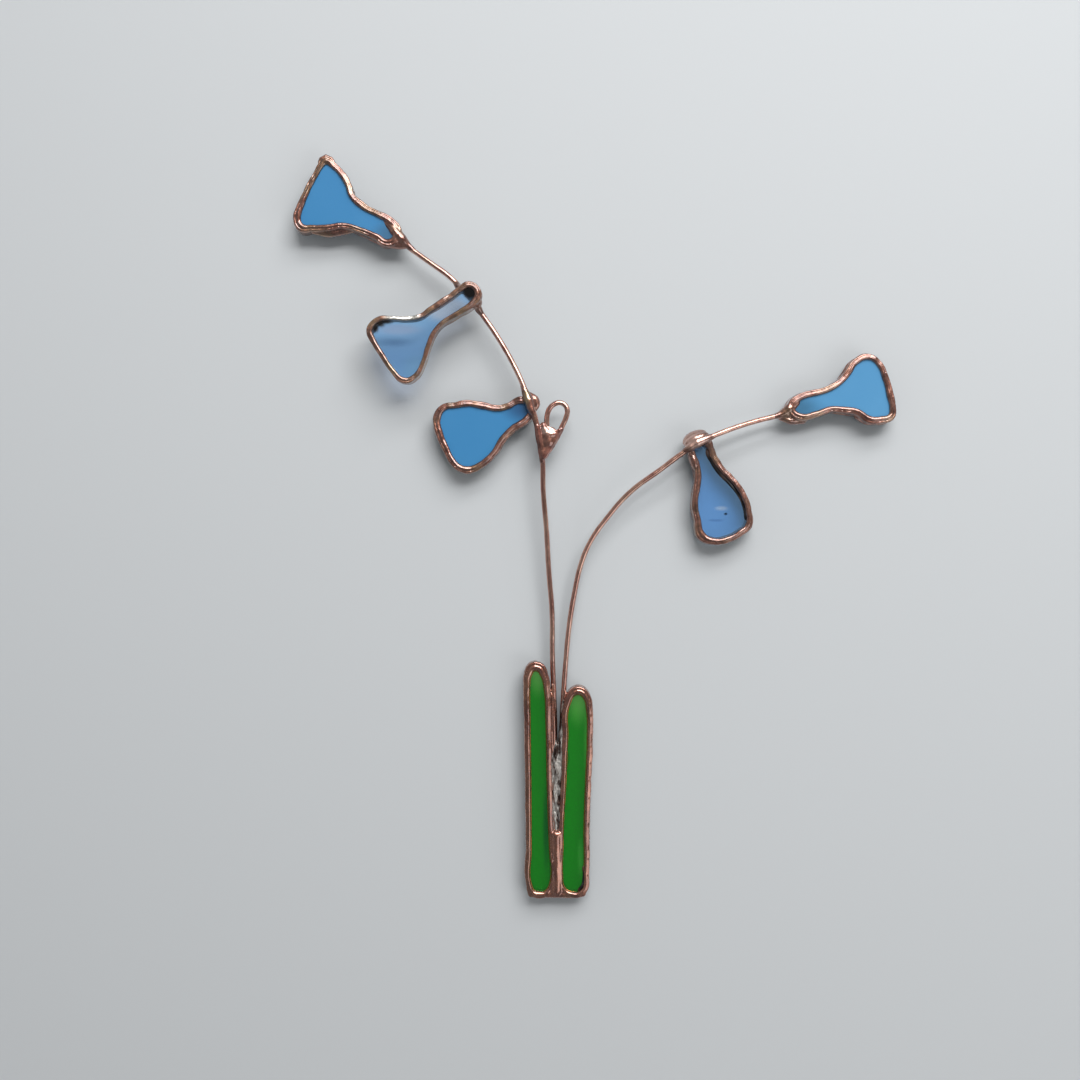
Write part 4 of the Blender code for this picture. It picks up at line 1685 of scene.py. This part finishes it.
@dataclass
class Ornament:
    """The whole ornament."""

    def flowers(self) -> tuple[Flower, ...]:
        """List the five bells.

        Returns:
            The bells, from 1 to 5.
        """
        rosy = PatinaSolder("copper_patina_solder", spots=(Spot(-8.3, 1.8, 1.2, 3.0, "#A58A62", 0.2),))
        # Brassier, with a grey run along the top of its bell
        brassy = PatinaSolder(
            "brassy_patina_solder", rose="#A4725A", brown="#643828", brass_share=0.5,
            spots=(Spot(-38.4, 21.1, 5.5, 1.6, "#B9B5AC", 0.5),),
        )
        # Painted highlight: paler on the top of bell 5's joint
        painted_highlight_patina = PatinaSolder(
            "olive_patina_solder", rose="#AA7460", brown="#6A3726", brass_share=0.4,
            spots=(Spot(33.4, -8.9, 4.2, 2.8, "#D6AA9A", 0.3),),
        )
        # Near-black of foil in shade, used for painted shade on bell 5's lining
        foil_and_shade_black = "#120D0C"
        return (
            Flower(
                1,
                Rim(BELL_1, GLASS_PLANE, seed=1.0),
                (
                    Drop((-39.9, 2.1, 41.7), (2.3, 1.9, 1.7), 40),
                    Taper(((-43.6, 1.3, 46.0, 0.8), (-41.2, 0.9, 43.7, 1.35), (-39.3, 0.9, 41.5, 1.35),
                           (-37.7, 1.2, 39.8, 0.85), (-36.4, 1.2, 38.6, 0.66))),
                    Taper(((-45.0, 1.9, 41.0, 0.8), (-42.0, 1.7, 40.4, 1.1), (-39.8, 1.5, 40.2, 1.2),
                           (-38.0, 1.4, 39.9, 0.8))),
                    Taper(((-50.0, 1.6, 44.0, 0.5), (-53.5, 1.7, 43.7, 0.9), (-57.5, 1.9, 43.1, 1.0),
                           (-61.5, 1.8, 43.6, 0.7))),
                ),
                rosy,
            ),
            Flower(
                2,
                Rim(BELL_2, RAISED_PLANE, 1.15, 0.7, swell=0.1, wander=0.12, seed=2.0),
                (
                    Drop((-20.6, -0.8, 25.2), (1.4, 1.6, 1.6), 20),
                    Taper(((-21.0, -1.4, 25.6, 1.2), (-20.0, 0.0, 23.6, 0.95), (-19.2, 0.3, 22.4, 0.62))),
                    Taper(((-24.2, -1.6, 28.4, 0.9), (-24.9, -0.5, 29.0, 1.0), (-26.0, 0.3, 30.6, 0.62))),
                ),
                brassy,
                # Near-black foil backing, folded over the back at the upper corner and at the neck's tip:
                # partly painted shade
                FoilBacking("foil_backing_bell_2", "#3A2C2B", dark="#171416"),
                (
                    ((-46.6, 17.0), (-46.0, 19.2), (-44.3, 20.9), (-41.8, 21.2), (-40.8, 20.6),
                     (-42.9, 20.2), (-44.7, 19.2), (-45.9, 17.4)),
                    ((-24.6, 27.4), (-23.4, 28.3), (-21.9, 28.6), (-20.8, 27.4), (-21.8, 25.5), (-22.5, 25.8),
                     (-23.1, 26.7), (-23.9, 27.1)),
                ),
            ),
            Flower(
                3,
                Rim(BELL_3, GLASS_PLANE, seed=3.0),
                (
                    Taper(((-7.4, 0.9, 2.7, 0.7), (-6.3, 0.9, 1.5, 1.1), (-5.8, 0.9, 0.3, 1.0),
                           (-6.2, 0.8, -1.0, 0.65))),
                    Taper(((-9.2, -0.5, 4.9, 0.66), (-8.5, -0.45, 3.1, 0.95), (-7.8, -0.4, 1.2, 1.2),
                           (-7.2, -0.5, -0.8, 1.1), (-6.4, -0.6, -2.8, 0.85), (-5.7, -0.6, -5.2, 0.68))),
                ),
                rosy,
            ),
            Flower(
                4,
                Rim(BELL_4, GLASS_PLANE, seed=4.0),
                (
                    Drop((56.8, 2.0, -1.9), (2.4, 1.9, 1.5), -12),
                    Taper(((53.4, 1.0, -2.75, 0.62), (55.2, 1.1, -2.2, 1.0), (57.2, 1.1, -0.9, 1.4),
                           (58.8, 1.0, 0.7, 1.1))),
                    Taper(((55.4, 1.6, -2.9, 0.9), (57.8, 1.8, -3.7, 1.05), (61.0, 2.2, -3.5, 0.9))),
                    Taper(((74.5, 2.4, -2.6, 0.8), (77.6, 2.5, -3.9, 0.85), (80.4, 2.4, -3.6, 0.7))),
                ),
                rosy,
            ),
            Flower(
                5,
                Rim(BELL_5, GLASS_PLANE, seed=5.0),
                (
                    Drop((33.8, 1.4, -8.2), (3.3, 2.2, 2.0), -25),
                    Drop((34.1, 0.2, -8.7), (3.3, 1.7, 1.7), -25),
                    Drop((33.4, 1.0, -13.9), (1.1, 1.5, 2.5), -15),
                    Taper(((30.4, -0.6, -11.9, 0.62), (32.0, -0.7, -10.8, 1.0), (34.0, -0.6, -9.5, 1.45),
                           (36.2, -0.6, -8.5, 1.1), (38.2, -0.5, -7.7, 0.62))),
                    Taper(((36.6, 0.4, -8.6, 1.1), (37.4, 0.4, -10.4, 0.9), (37.9, 0.4, -12.6, 0.7))),
                ),
                painted_highlight_patina,
                # Black along the right side, on the lining and in a line on the front: painted shade on the
                # dark foil of the rim's inner wall
                FoilBacking(
                    "foil_backing_bell_5", "#5A463E",
                    spots=(
                        Spot(38.8, -14.5, 3.4, 4.5, foil_and_shade_black, 0.5),
                        Spot(43.5, -19.8, 3.6, 4.8, foil_and_shade_black, 0.5),
                        Spot(46.4, -26.0, 2.4, 5.0, foil_and_shade_black, 0.5),
                    ),
                ),
                flux=(
                    (36.9, -10.6), (38.1, -13.5), (40.3, -16.5), (43.0, -19.2), (45.3, -22.7), (46.4, -26.2),
                    (46.4, -28.6), (46.0, -28.2), (45.75, -26.5), (44.6, -23.2), (42.2, -20.0), (39.5, -17.3),
                    (37.4, -14.2), (36.3, -11.4),
                ),
            ),
        )

    def build(self, bench: Workbench) -> None:
        """Make every piece of metal.

        Args:
            bench: The workbench.
        """
        flowers = self.flowers()
        solders = built(flower.finish for flower in flowers)
        for flower in flowers:
            flower.build(bench, solders[flower.finish])

        leaf_solder = PatinaSolder(
            "leaf_patina_solder", rose="#BA795E", brown="#7C3B27", brass_share=0.2, stretch=3.0,
            bump_depth=0.008, roughness=(0.2, 0.36),
        )
        # The black spot in the right leaf's lower corner is painted shade in the gap where the glass falls
        # short of the foil
        leaf_foil = FoilBacking(
            "foil_backing_leaves", "#5E3A2A", spots=(Spot(5.6, -118.4, 1.6, 3.6, "#120D0C", 0.5),)
        )
        Leaves(
            Rim(LEAF_LEFT, GLASS_PLANE, 1.5, 0.8, swell=0.0, wander=0.08, seed=6.0),
            Rim(LEAF_RIGHT, GLASS_PLANE, 1.5, 0.8, swell=0.0, wander=0.08, seed=7.0),
        ).build(bench, leaf_solder.build(), leaf_foil.build())
        Groove().build(bench, BareSolder("bare_solder").build())

        wire = PatinaSolder(
            "copper_wire", rose="#DDA993", brown="#A5604E", brass_share=0.2, patch=1.8, stretch=3.0,
            roughness=(0.18, 0.26), bump_depth=0.001,
        )
        Wires().build(bench, wire.build())
        # Painted highlight: nearly white on the top of the dome
        web = PatinaSolder(
            "web_patina_solder", rose="#B87764", brown="#6A2F21", brass_share=0.15,
            spots=(Spot(-3.1, -6.4, 1.9, 1.5, "#E9C4B2", 0.1),),
        )
        EyeSolder().build(bench, web.build())

    def glass(self) -> dict[str, Finish]:
        """List the finishes of the glass by the frame's node.

        Returns:
            The finishes.
        """
        # Painted shade: darker and greyer towards the necks of bells 1 and 3
        opal = OpalGlass(
            "opalescent_blue_glass", "#3E87BD", "#4A90C4",
            spots=(Spot(-41.6, 42.6, 6.5, 4.5, "#46759A"), Spot(-8.6, -0.6, 7.5, 5.0, "#33608C")),
        )
        # Painted shade: darker towards bell 4's neck
        pale_opal = OpalGlass(
            "pale_opalescent_blue_glass", "#5699CA", "#62A2D0", spots=(Spot(58.5, -0.8, 9.0, 4.5, "#467A9E"),)
        )
        # Painted light and shade: paler at the neck and under the top rim, where the wall behind is lit, a
        # darker band where the top rim's shadow falls on the wall behind, and brighter low down. Near-black
        # at the neck's tip and in the upper corner, where the folded foil lies behind it, with painted shade
        # there too
        clear = ClearGlass(
            "clear_blue_glass", "#A0D2FF", cast="#C4D0E4", clear_share=0.9,
            spots=(
                Spot(-27.5, 23.2, 7.5, 4.2, "#D6E8FF", 0.4), Spot(-39.5, 18.2, 7.5, 1.8, "#B0CDF2", 0.3),
                Spot(-40.6, 15.0, 7.0, 1.6, "#8CBCEC", 0.0), Spot(-36.0, 8.5, 4.2, 5.0, "#A4D8FF", 0.2),
                Spot(-22.0, 27.5, 2.3, 2.3, "#30261F", 0.55), Spot(-45.4, 18.6, 1.2, 1.6, "#30261F", 0.25),
                Spot(-44.2, 19.7, 1.8, 1.2, "#30261F", 0.25), Spot(-42.6, 20.2, 2.3, 0.8, "#30261F", 0.25),
            ),
        )
        # Painted highlight: a pale streak where the rolled surface catches the light, with a darker streak
        # under it; and one small dark bubble
        misty = ClearGlass(
            "misty_blue_glass", "#98CAF8", cast="#A8C6E6", clear_share=0.82,
            spots=(
                Spot(40.3, -25.6, 2.3, 0.8, "#D6EAFF"), Spot(39.0, -28.6, 3.0, 0.5, "#86B4E4"),
                Spot(41.4, -27.0, 0.4, 0.4, "#22384E", 0.5),
            ),
        )
        # Painted light: lighter at the tips and along the right leaf's right side and lower corner, where
        # more light comes through; darker along the left leaf's inner edge
        green = ClearGlass(
            "green_cathedral_glass", "#2CAD33", cast="#2CAD33", clear_share=0.7,
            spots=(
                Spot(-5.4, -65.5, 3.4, 8.5, "#7FE06C"), Spot(4.6, -71.5, 4.0, 10.0, "#7FE06C"),
                Spot(7.6, -84.0, 2.0, 20.0, "#6AD65A"), Spot(-3.4, -105.0, 1.1, 14.0, "#1D8A3A", 0.2),
                Spot(5.2, -112.5, 1.1, 6.5, "#4CC24C", 0.2),
            ),
        )
        return {
            "glass_bell_1": opal,
            "glass_bell_2": clear,
            "glass_bell_3": opal,
            "glass_bell_4": pale_opal,
            "glass_bell_5": misty,
            "glass_leaf_left": green,
            "glass_leaf_right": green,
        }

    def dress_glass(self, nodes: dict[str, bpy.types.Object], bench: Workbench) -> None:
        """Give the frame's glass its finishes, and cut two panes anew.

        Args:
            nodes: The frame's nodes by name.
            bench: The workbench.
        """
        finishes = self.glass()
        materials = built(finishes.values())
        for node, finish in finishes.items():
            for place in nodes[node].material_slots:
                place.material = materials[finish]
        # Two panes reach a little further under their beads than the frame's
        for node, outline, plane, slot, reach in (
            ("glass_bell_2", BELL_2, RAISED_PLANE, Slot.CLEAR_BLUE, 0.5),
            ("glass_leaf_right", LEAF_RIGHT, GLASS_PLANE, Slot.GREEN, 0.6),
        ):
            pane = Sheet(grown(outline, reach), plane, GLASS_THICKNESS).build(bench)
            name = node.replace("glass", "pane")
            piece = bench.hand_over(name, pane, materials[finishes[node]], slot, (node,))
            piece.data.shade_flat()


def main() -> None:
    """Build the ornament and the studio round it."""
    logging.basicConfig(level=logging.INFO, format="%(name)s %(message)s")
    for thing in list(bpy.data.objects):
        bpy.data.objects.remove(thing, do_unlink=True)
    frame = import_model()
    bench = Workbench()
    ornament = Ornament()
    ornament.dress_glass(frame["nodes"], bench)
    ornament.build(bench)
    bench.clear()
    Studio().build()


if __name__ == "__main__":
    main()
